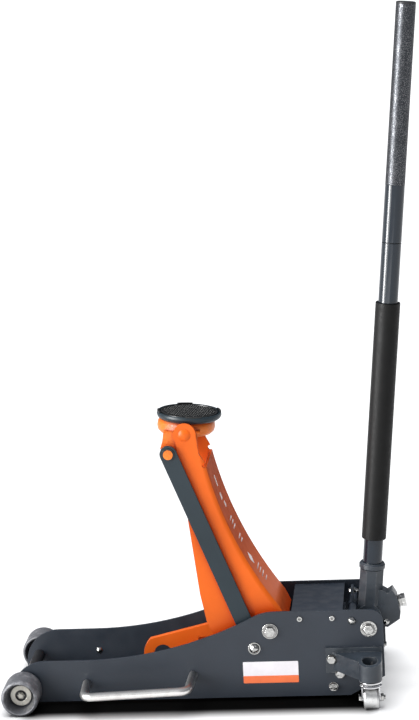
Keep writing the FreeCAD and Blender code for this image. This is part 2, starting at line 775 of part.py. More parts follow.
bracket = cut(fuse(flange, barrel, ear, boss, trunnion),
              rod("y", d.saddle_pin_radius + RUN, 2 * bracket_half + 2, pin_x, -bracket_half - 1, pin_z),
              tilted_rod(d.spigot_radius + RUN, 40, SADDLE_ACROSS, flange_top - 4.5))
node(bracket, "saddle_bracket")

clip_start = d.link_inner + d.link_thick + 0.3
node(group(*[ring("y", 11, d.trunnion_radius, 1.6, trunnion_x, from_face(s, clip_start, 1.6), trunnion_z)
             for s in (-1, 1)]), "trunnion_clips")

rim = d.saddle_radius
dish_height = flange_top + 0.3
DISH_FLOOR = 6
dish = turned((0, -4), (d.spigot_radius, -4), (d.spigot_radius, 0), (rim - 6, 0), (rim - 1.5, 3.5),
              (rim, 7.5), (rim - 0.6, 11.5), (rim - 2.2, 12.8), (rim - 4, 12.2), (rim - 5, 9), (rim - 5.5, DISH_FLOOR),
              (0, DISH_FLOOR), at=on_saddle(SADDLE_ACROSS, dish_height), rotation=tilt_turn)
node(dish, "saddle_dish")
pad_seat = dish_height + DISH_FLOOR + RUN
pad_height = d.saddle_top - pad_seat
face_pad = turned((0, 0), (rim - 6.5, 0), (rim - 6.5, pad_height - 1), (rim - 8, pad_height), (0, pad_height),
                  at=on_saddle(SADDLE_ACROSS, pad_seat), rotation=tilt_turn)


def rim_lug(degrees):
    """Raised rubber block standing on the rim."""
    block = turned((rim - 4.4, 0), (rim - 0.8, 0), (rim - 1.2, LUG_HEIGHT), (rim - 3.8, LUG_HEIGHT),
                   at=on_saddle(SADDLE_ACROSS, dish_height + 12.9), rotation=tilt_turn, sweep=LUG_SWEEP)
    spin = FreeCAD.Rotation(V(0, 0, 1), degrees - LUG_SWEEP / 2)
    block.Placement.Rotation = tilt_turn.multiply(spin)
    return block


node(group(face_pad, *[rim_lug(degrees) for degrees in (13, 103, 193, 283)]), "saddle_pad")

# ---------------------------------------------------------------- front wheels

wide = d.wheel_width
wr = d.wheel_radius


def front_wheel(side):
    """Cast roller: deep dished outer face, shallow recess inside, rounded tread edges."""
    bore = d.axle_radius + RUN
    return turned((bore, 16), (21, 16), (27, 2), (28.5, 0), (wr - 2.5, 0), (wr - 0.7, 2), (wr, 6), (wr, wide - 6),
                  (wr - 1.2, wide - 2), (wr - 4, wide), (wr - 5.5, wide), (wr - 6.5, wide - 2),
                  (20.5, wide - WHEEL_RECESS), (bore, wide - WHEEL_RECESS),
                  at=(0, side * wheel_inner, wr), rotation=FreeCAD.Rotation(V(1, 0, 0), -90 * side))


node(front_wheel(-1), "front_wheel_near")
node(front_wheel(1), "front_wheel_far")

# ---------------------------------------------------------------- casters

FORK_GAP = 0.8
FORK_PLATE = 2.5


def caster_bracket():
    """Cast arm bolted to the near plate, with a sloping top and a bored boss at its end."""
    face = -(outer_face + 0.1)
    flange_block = box(536, face - 6, 50, 98, 6, 45)

    def plan(sketch):
        outline(sketch, (548, face - 5.5), (594, -d.caster_y), (634, -d.caster_y), (634, face - 5.5))

    arm_block = sheet_part(plan, 32, 0, 0, 71, role="XY_Plane")
    boss_block = rod("z", d.caster_boss, 36, d.caster_x, -d.caster_y, d.boss_bottom)
    whole = fuse(flange_block, arm_block, boss_block)
    slope = box(500, -220, 0, 180, 123, 60)
    slope.Placement.Rotation = FreeCAD.Rotation(V(1, 0, 0), 14)
    bind(slope, "Placement.Base.z", 71.5)
    tools = [slope,
             rod("z", 13.5, 60, d.caster_x, -d.caster_y, d.boss_bottom + 11),
             rod("z", d.kingpin_radius + EASE, 60, d.caster_x, -d.caster_y, d.boss_bottom - 1)]
    tools += [rod("y", BOLT_RADIUS + EASE, 12, x, face - 8, z) for x, z in FLANGE_BOLTS]
    tools += [rod("y", 9.9, 40, x, face - 46, z) for x, z in FLANGE_BOLTS]
    tools.append(rod("y", 9, 8, FRAME_BOLTS[0][0], face - 7.5, FRAME_BOLTS[0][1]))
    return cut(whole, *tools)


near_bracket = caster_bracket()
node(near_bracket, "caster_bracket_near")
node(mirrored(near_bracket), "caster_bracket_far")


def kingpin(side):
    """Bolt that holds the fork: head in the boss, thin head under the fork's top plate."""
    y = side * d.caster_y
    head_z = d.boss_bottom + 11.1
    shank_z = d.fork_top - 8.2
    return fuse(hexagon("z", 8, 11, d.caster_x, y, head_z),
                rod("z", d.kingpin_radius, head_z + 0.1 - shank_z, d.caster_x, y, shank_z))


node(group(*both_sides(kingpin)), "caster_kingpins")
race_height = d.boss_bottom - 0.05 - (d.fork_top + 0.3)
node(group(*[turned((d.kingpin_radius + EASE, 0), (16, 0), (19.5, 2), (19.5, race_height - 1.5),
                    (17, race_height), (d.kingpin_radius + EASE, race_height),
                    at=(d.caster_x, s * d.caster_y, d.fork_top + 0.3)) for s in (-1, 1)]), "caster_races")


def caster_fork(side):
    """Pressed fork: a round top over two legs that reach back to the wheel's axle."""
    y = side * d.caster_y
    top = turned((d.kingpin_radius + RUN, -2.2), (14, -2.2), (16.5, -2.6), (18.4, -4.6), (19.2, -4.6), (19.5, -2.5),
                 (17.5, 0), (d.kingpin_radius + RUN, 0), at=(d.caster_x, y, d.fork_top))
    legs = []
    for end in (-1, 1):
        inner = d.caster_width / 2 + FORK_GAP

        def leg(sketch):
            axle_y = -side * d.trail
            outline(sketch, (axle_y - 7, d.caster_radius), (axle_y, d.caster_radius - 7, axle_y + 7,
                    d.caster_radius), (12, d.fork_top - 1), (-12, d.fork_top - 1))
            circle(sketch, axle_y, d.caster_radius, d.caster_axle + EASE)

        legs.append(sheet_part(leg, FORK_PLATE, d.caster_x + end * (inner + FORK_PLATE / 2), y, 0,
                               role="YZ_Plane"))
    return fuse(top, *legs)


def caster_wheel(side):
    rw, half = d.caster_radius, d.caster_width / 2
    bore = d.caster_axle + RUN
    return turned((bore, -half), (8, -half), (9, 2 - half), (rw - 5, 2 - half), (rw - 4, -half), (rw - 2, -half),
                  (rw, 2.5 - half), (rw, half - 2.5), (rw - 2, half), (rw - 4, half), (rw - 5, half - 2),
                  (9, half - 2), (8, half), (bore, half),
                  at=(d.caster_x, side * (d.caster_y - d.trail), d.caster_radius), rotation=TURN["x"])


def caster_axle(side):
    y = side * (d.caster_y - d.trail)
    out = d.caster_width / 2 + FORK_GAP + FORK_PLATE + 0.1
    z = d.caster_radius
    head = hexagon("x", 7, 5, d.caster_x - out - 5, y, z)
    shank = rod("x", d.caster_axle, 2 * out + 9, d.caster_x - out - 1, y, z)
    nut = hexagon("x", 7, 5, d.caster_x + out, y, z)
    return fuse(head, shank, nut)


for side, name in ((-1, "near"), (1, "far")):
    node(caster_fork(side), f"caster_fork_{name}")
    node(caster_axle(side), f"caster_axle_{name}")
    node(caster_wheel(side), f"caster_wheel_{name}")

# ---------------------------------------------------------------- handle socket

node(rod("y", d.handle_shaft, 2 * outer_face + 5, d.handle_x, -(outer_face + 2.5), d.handle_z), "handle_shaft")


def shaft_end(side):
    washer = ring("y", 14.5, d.handle_shaft + EASE, 2.2, d.handle_x, from_face(side, outer_face + 0.1, 2.2),
                  d.handle_z)
    head = hexagon("y", 9, 5.5, d.handle_x, from_face(side, outer_face + 2.6, 5.5), d.handle_z)
    return [washer, head]


node(group(*SHAFT_BOLTS, *shaft_end(-1), *shaft_end(1)), "shaft_bolts")


def on_handle(obj, height, x=0, y=0):
    """Place a piece on the leaning handle: height along it from the shaft, x across it."""
    return put(obj, d.handle_x + height * lean_x + x * lean_z, y, d.handle_z + height * lean_z - x * lean_x,
               lean_turn)


HEEL_WIDTH = 32


def handle_socket():
    half = d.socket_half
    corner = half / cos(22.5)
    tube = doc.addObject("Part::Prism", "Octagon")
    tube.Polygon = 8
    bind(tube, "Circumradius", corner)
    bind(tube, "Height", d.socket_top - 12)
    eighth = FreeCAD.Rotation(V(0, 0, 1), 22.5)
    on_handle(tube, 0)
    tube.Placement.Rotation = lean_turn.multiply(eighth)
    foot = rod("y", half, 2 * half, d.handle_x, -half, d.handle_z)
    collar = on_handle(turned((half - 4, 0), (half, 0), (half + 2.2, 2.5), (half + 2.2, 9), (half, 12),
                              (half - 4, 12), at=(0, 0, 0)), d.socket_top - 12)
    heel = sheet_part(heel_outline, HEEL_WIDTH, d.handle_x, 0, d.handle_z, lean_turn)
    cheeks = [sheet_part(cheek_outline, 5, d.handle_x, s * 11.5, d.handle_z, lean_turn) for s in (-1, 1)]
    solid = fuse(tube, foot, collar, heel)
    bore = doc.addObject("Part::Cylinder", "Bore")
    bind(bore, "Radius", d.handle_radius + RUN)
    bore.Height = 120
    on_handle(bore, d.handle_bottom - 1)
    slot = sheet_part(cam_slot, 18, d.handle_x, 0, d.handle_z, lean_turn)
    shaft_hole = rod("y", d.handle_shaft + RUN, 60, d.handle_x, -30, d.handle_z)
    shaped = cut(solid, bore, slot)
    return cut(fuse(shaped, *cheeks), shaft_hole,
               rod("y", 3 + EASE, 40, cam_x, -20, cam_z), adjuster_hole())


def heel_outline(sketch):
    """Block behind the socket that carries the adjusting bolt."""
    outline(sketch, (10, 50), (22, 46), (30, 42), (38, 49), (46.5, 37), (55, 9.7), (54.3, -3.3), (34, -20),
            (20, -18), (10, -10))


def cheek_outline(sketch):
    """Ear under the shaft that holds the cam roller's pin."""
    outline(sketch, (-16, 0), (-9, -24), (0, -29, 9, -24), (16, 0))


def cam_slot(sketch):
    outline(sketch, (-30, -11), (-30, -45), (18, -45), (18, -11))


cam_x = d.handle_x - d.cam_drop * lean_x
cam_z = d.handle_z - d.cam_drop * lean_z
ADJUSTER_TILT = 17.3
ADJUSTER_REACH, ADJUSTER_RISE = 50.3, 25


def adjuster_piece(make, start):
    """Turn a piece to point out of the heel's sloping face, start along that line."""
    obj = make()
    turn = lean_turn.multiply(FreeCAD.Rotation(V(0, 1, 0), 90 - ADJUSTER_TILT))
    reach = ADJUSTER_REACH + start * math.cos(math.radians(ADJUSTER_TILT))
    rise = ADJUSTER_RISE + start * math.sin(math.radians(ADJUSTER_TILT))
    on_handle(obj, rise, reach)
    obj.Placement.Rotation = turn
    return obj


def plain(kind, radius, length):
    def make():
        obj = doc.addObject(kind, "Adjuster")
        if kind == "Part::Prism":
            obj.Polygon = 6
            obj.Circumradius = radius
        else:
            obj.Radius = radius
        obj.Height = length
        return obj
    return make


def adjuster_hole():
    return adjuster_piece(plain("Part::Cylinder", 5 + EASE, 30), -18)


def heel_screw(side):
    """Small domed screw in the side of the heel block."""
    out, up = 30.8, -10.2
    x = d.handle_x + up * lean_x + out * lean_z
    z = d.handle_z + up * lean_z - out * lean_x
    return dome("y", 6, 3.5, x, side * (HEEL_WIDTH / 2 + 0.05), z, flip=side < 0)


node(handle_socket(), "handle_socket")
node(group(fuse(adjuster_piece(plain("Part::Cylinder", 5, 28), -17),
                adjuster_piece(plain("Part::Prism", 12.5, 7), 6)),
           cut(adjuster_piece(plain("Part::Prism", 11.5, 5), 0.6),
               adjuster_piece(plain("Part::Cylinder", 5.05, 9), -1)),
           heel_screw(-1), heel_screw(1)), "heel_bolts")
node(group(ring("y", d.cam_radius, 3 + EASE, 15, cam_x, -7.5, cam_z),
           rod("y", 3, 30, cam_x, -15, cam_z)), "cam_roller")

# stop for the upright handle: a bent post on the tie rod with an adjustable bolt
STOP_Z = TIE_Z + 26
post = cut(fuse(box(TIE_X - 2, -9, TIE_Z + 5, 4, 18, 30),
                ring("y", TIE_RADIUS + 1.5, TIE_RADIUS + EASE, 18, TIE_X, -9, TIE_Z)),
           rod("y", TIE_RADIUS + EASE, 22, TIE_X, -11, TIE_Z),
           rod("x", 3 + EASE, 10, TIE_X - 5, 0, STOP_Z))
node(post, "stop_post")
socket_front = d.handle_x + (STOP_Z - d.handle_z) * lean_x / lean_z - d.socket_half / lean_z
stop_tip = socket_front - 0.5
node(fuse(dome("x", 5.5, 5, TIE_X - 2.2, 0, STOP_Z, flip=True),
          rod("x", 3, stop_tip - (TIE_X - 2.3), TIE_X - 2.3, 0, STOP_Z),
          hexagon("x", 5.5, 3, TIE_X + 2.2, 0, STOP_Z)), "stop_bolt")

# ---------------------------------------------------------------- handle

WALL = 2.5


def handle_piece(start_height, outer, inner, length):
    obj = turned((inner, 0), (outer, 0), (outer, length), (inner, length), at=(0, 0, 0))
    return on_handle(obj, start_height)


hr = d.handle_radius
node(handle_piece(d.handle_bottom, hr, hr - WALL, d.handle_joint - 0.6 - d.handle_bottom), "handle_lower_tube")
node(handle_piece(d.handle_joint + 0.6, hr, hr - WALL, d.grip_start - 0.6 - d.handle_joint), "handle_upper_tube")
node(handle_piece(d.grip_start, hr, hr - WALL, d.handle_top - 3 - d.grip_start), "handle_grip")
node(handle_piece(d.sleeve_start, d.sleeve_radius, hr, d.sleeve_end - d.sleeve_start), "handle_sleeve")
node(handle_piece(d.handle_joint - 60, hr - WALL - RUN, hr - WALL - 3, 180), "handle_joiner")
cap = turned((0, -10), (hr - WALL - RUN, -10), (hr - WALL - RUN, 0), (hr, 0), (hr, 1.5), (hr - 2, 3), (0, 3),
             at=(0, 0, 0))
node(on_handle(cap, d.handle_top - 3 + 0.02), "handle_cap")

# ---------------------------------------------------------------- pump plunger and release valve

plunger_tip = cam_x - d.cam_radius - 0.6
plunger_length = plunger_tip - (d.pump_rear - 6)
node(fuse(rod("x", PLUNGER_RADIUS, plunger_length, d.pump_rear - 6, 0, plunger_z),
          rod("x", 8.7, 4, plunger_tip - 4, 0, plunger_z)), "pump_plunger")
spring_rear = d.pump_rear + GLAND_LENGTH
spring_room = plunger_tip - 4.2 - spring_rear
node(ring("x", 8.7, PLUNGER_RADIUS + 0.3, spring_room, spring_rear, 0, plunger_z), "plunger_spring")
node(fuse(rod("x", VALVE_RADIUS, 34, d.pump_rear - 16, VALVE_Y, VALVE_Z),
          hexagon("x", 9, 8, d.pump_rear + 10, VALVE_Y, VALVE_Z)), "release_valve")

# ---------------------------------------------------------------- carry handles and labels


def carry_handle(side):
    """Round bar bent into a shallow bail, swept along straight runs and arcs."""
    (x1, z1), (x2, z2) = CARRY_ENDS
    face = outer_face.value + 0.05
    reach = SIZES["carry_reach"]
    corner = 15
    points = [V(x1, side * face, z1), V(x1 + 3, side * (face + reach), z1 - 1),
              V(x2 - 4, side * (face + reach), z2 - 5), V(x2, side * face, z2)]
    edges = []
    here = points[0]
    for before, at, after in zip(points, points[1:], points[2:]):
        back = (before - at).normalize()
        ahead = (after - at).normalize()
        half_turn = back.getAngle(ahead) / 2
        trim = corner / math.tan(half_turn)
        start = at + back * trim
        end = at + ahead * trim
        toward = (back + ahead).normalize()
        centre = at + toward * (corner / math.sin(half_turn))
        middle = centre - toward * corner
        edges.append(Part.LineSegment(here, start).toShape())
        edges.append(Part.Arc(start, middle, end).toShape())
        here = end
    edges.append(Part.LineSegment(here, points[-1]).toShape())
    path = Part.Wire(edges)
    direction = (points[1] - points[0]).normalize()
    profile = Part.Wire(Part.Circle(points[0], direction, SIZES["carry_radius"]).toShape())
    bar = path.makePipeShell([profile], True, True)
    inside = Part.makeBox(400, 20, 100, V(0, -20 + side * face if side > 0 else -face, 0))
    bar = bar.cut(inside)
    obj = doc.addObject("Part::Feature", "Bail")
    obj.Shape = bar
    return put(obj, 0, 0, 0)


node(carry_handle(-1), "carry_handle_near")
node(carry_handle(1), "carry_handle_far")


def carry_screw(side, x, z):
    """Screw from inside the plate into a carry handle's end."""
    head = dome("y", 6, 3, x, side * (half_gap - 0.05), z, flip=side > 0)
    length = d.plate_thick + 0.05
    return fuse(head, rod("y", SCREW_RADIUS, length, x, from_face(side, half_gap - 0.06, length), z))


carry_screws = [carry_screw(s, x, z) for s in (-1, 1) for x, z in CARRY_ENDS]
node(group(*cover_screws, *carry_screws), "plate_screws")
node(group(*[box(390, from_face(s, outer_face + 0.02, 0.6), 32, 97, 0.6, 39) for s in (-1, 1)]), "label_plates")

# ---------------------------------------------------------------- check and write

doc.recompute()
failed = []
for obj in doc.Objects:
    if "Invalid" in obj.State or "Error" in obj.State:
        failed.append(f"{obj.Name} used by {[user.Label for user in obj.InList]}")
if failed:
    raise RuntimeError("\n".join(failed))

os.makedirs("parts", exist_ok=True)
whole_box = FreeCAD.BoundBox()
for obj in NODES:
    shape = obj.Shape
    if shape.isNull() or not shape.isValid() or shape.Volume <= 0:
        raise RuntimeError(f"{obj.Label} has no valid shape")
    whole_box.add(shape.BoundBox)
    shape.exportStep(f"parts/{obj.Label}.step")
print(len(NODES), "nodes", "x", round(whole_box.XMin, 2), round(whole_box.XMax, 2),
      "y", round(whole_box.YMin, 2), round(whole_box.YMax, 2),
      "z", round(whole_box.ZMin, 2), round(whole_box.ZMax, 2))
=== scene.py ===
"""Low-profile trolley jack: finishes, fine pieces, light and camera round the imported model."""
import json
import math

import bmesh
import bpy
from mathutils import Matrix, Vector

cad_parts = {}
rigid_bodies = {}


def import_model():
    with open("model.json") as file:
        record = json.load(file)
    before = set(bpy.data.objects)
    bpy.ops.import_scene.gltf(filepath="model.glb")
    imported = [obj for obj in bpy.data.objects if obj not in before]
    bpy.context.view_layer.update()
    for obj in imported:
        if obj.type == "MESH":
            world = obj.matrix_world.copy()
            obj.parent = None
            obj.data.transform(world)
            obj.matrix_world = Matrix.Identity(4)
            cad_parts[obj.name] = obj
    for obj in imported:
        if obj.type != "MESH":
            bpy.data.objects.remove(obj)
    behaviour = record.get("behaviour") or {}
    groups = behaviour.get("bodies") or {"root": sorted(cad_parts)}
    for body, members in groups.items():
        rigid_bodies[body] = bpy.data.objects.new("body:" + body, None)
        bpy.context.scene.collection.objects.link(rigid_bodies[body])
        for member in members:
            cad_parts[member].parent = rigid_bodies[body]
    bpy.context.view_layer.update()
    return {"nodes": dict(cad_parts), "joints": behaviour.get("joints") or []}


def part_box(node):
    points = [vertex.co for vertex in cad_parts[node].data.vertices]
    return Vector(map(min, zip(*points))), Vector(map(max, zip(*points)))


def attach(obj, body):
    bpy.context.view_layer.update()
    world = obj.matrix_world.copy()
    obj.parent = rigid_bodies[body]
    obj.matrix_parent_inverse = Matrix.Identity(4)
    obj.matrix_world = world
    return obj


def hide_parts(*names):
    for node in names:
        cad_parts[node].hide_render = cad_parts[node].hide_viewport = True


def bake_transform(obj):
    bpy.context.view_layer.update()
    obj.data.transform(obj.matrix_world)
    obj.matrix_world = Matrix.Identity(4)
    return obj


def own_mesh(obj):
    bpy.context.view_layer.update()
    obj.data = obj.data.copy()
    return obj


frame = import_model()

MM = 0.001
X, Y, Z = Vector((1, 0, 0)), Vector((0, 1, 0)), Vector((0, 0, 1))
JOINTS = {j["name"]: j for j in frame["joints"]}


# ---------------------------------------------------------------- finishes

class Finish:
    """A procedural material built on object coordinates, which are metres in the object's frame."""

    def __init__(self, name, colour, roughness, metallic=0.0):
        self.material = bpy.data.materials.new(name)
        self.material.use_nodes = True
        self.tree = self.material.node_tree
        self.tree.nodes.clear()
        self.out = self.add("ShaderNodeOutputMaterial")
        self.shader = self.add("ShaderNodeBsdfPrincipled")
        self.link(self.shader.outputs["BSDF"], self.out.inputs["Surface"])
        self.where = self.add("ShaderNodeTexCoord").outputs["Object"]
        self.set("Base Color", (*colour, 1.0))
        self.set("Roughness", roughness)
        self.set("Metallic", metallic)

    def add(self, kind, **settings):
        node = self.tree.nodes.new(kind)
        for key, value in settings.items():
            setattr(node, key, value)
        return node

    def link(self, source, target):
        self.tree.links.new(source, target)

    def feed(self, socket, value):
        """Plug an output in, or set a number or colour."""
        if isinstance(value, bpy.types.NodeSocket):
            self.link(value, socket)
        else:
            socket.default_value = value

    def set(self, name, value):
        self.feed(self.shader.inputs[name], value)

    def base_colour(self):
        """The output that feeds the base colour now."""
        return self.shader.inputs["Base Color"].links[0].from_socket

    def stretched(self, stretch):
        """Object coordinates, scaled along X, Y and Z."""
        scale = self.add("ShaderNodeMapping")
        self.link(self.where, scale.inputs["Vector"])
        scale.inputs["Scale"].default_value = stretch
        return scale.outputs["Vector"]

    def noise(self, per_metre, detail=3.0, roughness=0.55, stretch=None):
        node = self.add("ShaderNodeTexNoise")
        self.link(self.stretched(stretch) if stretch else self.where, node.inputs["Vector"])
        node.inputs["Scale"].default_value = per_metre
        node.inputs["Detail"].default_value = detail
        node.inputs["Roughness"].default_value = roughness
        return node.outputs["Fac"]

    def cells(self, per_metre):
        """Distance to the nearest of many scattered points."""
        node = self.add("ShaderNodeTexVoronoi")
        self.link(self.where, node.inputs["Vector"])
        node.inputs["Scale"].default_value = per_metre
        return node.outputs["Distance"]

    def rise(self, value, low, high, to_low=0.0, to_high=1.0, shape="LINEAR"):
        """value taken from low..high to to_low..to_high, clamped."""
        node = self.add("ShaderNodeMapRange", interpolation_type=shape)
        self.feed(node.inputs["Value"], value)
        ends = {"From Min": low, "From Max": high, "To Min": to_low, "To Max": to_high}
        for name, number in ends.items():
            self.feed(node.inputs[name], number)
        return node.outputs["Result"]

    def math(self, operation, a, b=0.0):
        node = self.add("ShaderNodeMath", operation=operation)
        self.feed(node.inputs[0], a)
        self.feed(node.inputs[1], b)
        return node.outputs[0]

    def mix(self, factor, a, b):
        node = self.add("ShaderNodeMix", data_type="RGBA")
        self.feed(node.inputs["Factor"], factor)
        self.feed(node.inputs["A"], a if isinstance(a, bpy.types.NodeSocket) else (*a[:3], 1.0))
        self.feed(node.inputs["B"], b if isinstance(b, bpy.types.NodeSocket) else (*b[:3], 1.0))
        return node.outputs["Result"]

    def bump(self, height, depth):
        """Add relief: depth is in metres between height 0 and 1."""
        node = self.add("ShaderNodeBump")
        node.inputs["Strength"].default_value = 1.0
        node.inputs["Distance"].default_value = depth
        self.feed(node.inputs["Height"], height)
        before = self.shader.inputs["Normal"].links
        if before:
            self.link(before[0].from_socket, node.inputs["Normal"])
        self.link(node.outputs["Normal"], self.shader.inputs["Normal"])

    def edges(self, radius):
        """1 along the piece's outer and inner edges, 0 on its faces."""
        rounded = self.add("ShaderNodeBevel", samples=4)
        rounded.inputs["Radius"].default_value = radius
        face = self.add("ShaderNodeNewGeometry").outputs["Normal"]
        dot = self.add("ShaderNodeVectorMath", operation="DOT_PRODUCT")
        self.link(rounded.outputs["Normal"], dot.inputs[0])
        self.link(face, dot.inputs[1])
        # the value is the cosine of the angle between the flat and the rounded face
        return self.rise(dot.outputs["Value"], 0.995, 0.9)

    def facing_up(self):
        """How far a face looks up in the present pose."""
        normal = self.add("ShaderNodeNewGeometry").outputs["Normal"]
        split = self.add("ShaderNodeSeparateXYZ")
        self.link(normal, split.inputs["Vector"])
        return split.outputs["Z"]

    def facing(self, axis):
        """How far a face of the resting object looks along X, Y or Z."""
        split = self.add("ShaderNodeSeparateXYZ")
        self.link(self.add("ShaderNodeTexCoord").outputs["Normal"], split.inputs["Vector"])
        return split.outputs[axis]

    def shelter(self, reach):
        """0 where nearby pieces close a place in, 1 in the open."""
        node = self.add("ShaderNodeAmbientOcclusion", samples=8)
        node.inputs["Distance"].default_value = reach
        return node.outputs["AO"]

    def inside(self, x_range, y_range, fades):
        """1 inside a rectangle of the ground, fading to 0 across the width given for each side."""
        split = self.add("ShaderNodeSeparateXYZ")
        self.link(self.where, split.inputs["Vector"])
        share = 1.0
        for axis, ends, (low_fade, high_fade) in (("X", x_range, fades[0]), ("Y", y_range, fades[1])):
            for end, fade in zip(ends, (low_fade, -high_fade)):
                slope = self.rise(split.outputs[axis], end, end + fade, shape="SMOOTHSTEP")
                share = self.math("MULTIPLY", share, slope)
        return share


def tint(colour, factor):
    return tuple(min(1.0, c * factor) for c in colour)


DUST = (0.32, 0.31, 0.30)


def paint(name, colour, roughness, peel=260, peel_depth=0.00004, wear=0.12, dust=0.05, shine=0.5):
    """Sprayed or powder-coated steel: orange peel, faint tone changes, light rubbing on the edges."""
    f = Finish(name, colour, roughness)
    tone = f.mix(f.rise(f.noise(9, 4), 0.35, 0.65), tint(colour, 0.9), tint(colour, 1.1))
    rubbed = f.math("MULTIPLY", f.edges(1.2 * MM), f.rise(f.noise(140, 4), 0.45, 0.62, 0.0, wear))
    tone = f.mix(rubbed, tone, tint([c + 0.05 for c in colour], 1.9))
    settled = f.rise(f.facing_up(), 0.6, 1.0, 0.0, 1.0)
    settled = f.math("MULTIPLY", settled, f.rise(f.noise(60, 5), 0.4, 0.75, 0.0, dust))
    f.set("Base Color", f.mix(settled, tone, DUST))
    f.set("Roughness", f.rise(f.noise(35, 4), 0.3, 0.7, roughness - 0.05, roughness + 0.07))
    f.set("Specular IOR Level", shine)
    f.bump(f.noise(peel, 2), peel_depth)
    return f


def metal(name, colour, roughness, grain=(1, 1, 1), dirt=0.25, dents=0.0):
    """Plated or machined steel: fine grain, uneven sheen, stains and dents of the given depth in metres."""
    f = Finish(name, colour, roughness, metallic=1.0)
    fine = f.noise(900, 3, stretch=grain)
    cloud = f.rise(f.noise(70, 4), 0.35, 0.7)
    tone = f.mix(cloud, tint(colour, 0.86), tint(colour, 1.06))
    stain = f.rise(f.noise(220, 5), 0.52, 0.75, 0.0, dirt)
    f.set("Base Color", f.mix(stain, tone, tint(colour, 0.45)))
    f.set("Roughness", f.rise(fine, 0.3, 0.7, roughness * 0.75, roughness * 1.35))
    f.bump(fine, 0.01 * MM)
    if dents:
        f.bump(f.noise(210, 2), dents)
    return f


def cast(name, colour, roughness, metallic=0.0, grit_depth=0.0003, wear=0.5, bare=(0.42, 0.41, 0.40),
         shine=0.5, scuffs=0.0):
    """Painted casting: gritty skin with the bare colour on rubbed edges and, darker, in scuffed patches."""
    f = Finish(name, colour, roughness, metallic)
    tone = f.mix(f.rise(f.noise(30, 5), 0.35, 0.7), tint(colour, 0.8), tint(colour, 1.2))
    rubbed = f.math("MULTIPLY", f.edges(2 * MM), f.rise(f.noise(120, 5), 0.42, 0.6, 0.0, wear))
    if scuffs:
        tone = f.mix(f.rise(f.noise(65, 6, 0.7), 0.5, 0.68, 0.0, scuffs), tone, tint(bare, 0.8))
    f.set("Base Color", f.mix(rubbed, tone, bare))
    f.set("Roughness", f.rise(f.noise(90, 4), 0.3, 0.7, roughness - 0.08, roughness + 0.1))
    f.set("Specular IOR Level", shine)
    f.bump(f.noise(420, 4, 0.6), grit_depth)
    f.bump(f.cells(160), grit_depth * 0.5)
    return f


def paint_hollow_shade(f, reach, deep):
    """Painted shade: a deeper colour where pieces within reach close the surface in."""
    f.set("Base Color", f.mix(f.rise(f.shelter(reach), 0.35, 0.92), deep, f.base_colour()))


FRAME_GREY = (0.0175, 0.0235, 0.0335)
ORANGE = (0.66, 0.112, 0.010)
SHADED_ORANGE = (0.50, 0.045, 0.004)
SLATE = (0.014, 0.024, 0.031)
ENAMEL_ROUGHNESS, ENAMEL_SHINE = 0.36, 0.16
# how far painted shade reaches into the enamel's hollows, in metres
ENAMEL_SHADE_REACH = 0.05

FRAME = paint("frame_powder_coat", FRAME_GREY, 0.42, shine=0.4)
FRAME_CASTING = cast("frame_casting", (0.022, 0.029, 0.038), 0.38, grit_depth=0.00022, wear=0.22)


def enamel(name):
    """Orange enamel with a soft orange peel."""
    return paint(name, ORANGE, ENAMEL_ROUGHNESS, peel=180, peel_depth=0.00005, wear=0.1, dust=0.0,
                 shine=ENAMEL_SHINE)


def arm_finish():
    """Orange enamel with painted shade: a darker colour on the face that looks back at the handle, which is
    also duller, and a deeper colour in its hollows.
    """
    f = enamel("lift_arm_enamel")
    # painted shade: the face looking along X, the arm's top face, gets a darker colour; its roughness is
    # also raised and its shine lowered
    film = f.rise(f.facing("X"), 0.80, 0.9)
    shaded_tone = f.mix(f.rise(f.noise(45, 4), 0.35, 0.65), (0.36, 0.060, 0.016), (0.42, 0.075, 0.022))
    f.set("Base Color", f.mix(film, f.base_colour(), shaded_tone))
    # painted shade: deeper colour in the arm's hollows
    paint_hollow_shade(f, ENAMEL_SHADE_REACH, SHADED_ORANGE)
    f.set("Roughness", f.rise(film, 0.0, 1.0, ENAMEL_ROUGHNESS, 0.62))
    f.set("Specular IOR Level", f.rise(film, 0.0, 1.0, ENAMEL_SHINE, 0.03))
    return f


ARM_PAINT = arm_finish()
ORANGE_PAINT = enamel("orange_enamel")
# painted shade: the enamel's colour deepens where nearby pieces close it in
paint_hollow_shade(ORANGE_PAINT, ENAMEL_SHADE_REACH, SHADED_ORANGE)
ORANGE_CASTING = cast("orange_casting", (0.70, 0.17, 0.016), 0.36, grit_depth=0.0005, wear=0.2,
                      bare=(0.9, 0.36, 0.10), shine=0.3)
# painted shade: deeper colour in the bracket's hollows
paint_hollow_shade(ORANGE_CASTING, 0.03, (0.45, 0.06, 0.006))
LINK_PAINT = paint("link_bar_paint", SLATE, 0.38, peel=300, dust=0.02, shine=0.3)
HANDLE_PAINT = paint("handle_gloss_paint", (0.008, 0.014, 0.022), 0.13, peel=220, peel_depth=0.000008,
                     wear=0.05, dust=0.0, shine=0.42)
AXLE_PAINT = paint("axle_black", (0.012, 0.012, 0.013), 0.4, dust=0.0)
ZINC = metal("zinc_plate", (0.52, 0.52, 0.505), 0.13, dirt=0.85, dents=0.0011)
# painted shade: darker round the bolt heads where they meet other pieces
paint_hollow_shade(ZINC, 0.006, (0.03, 0.03, 0.03))
WASHER = metal("dull_washer", (0.40, 0.39, 0.35), 0.36, dirt=0.5, dents=0.0003)
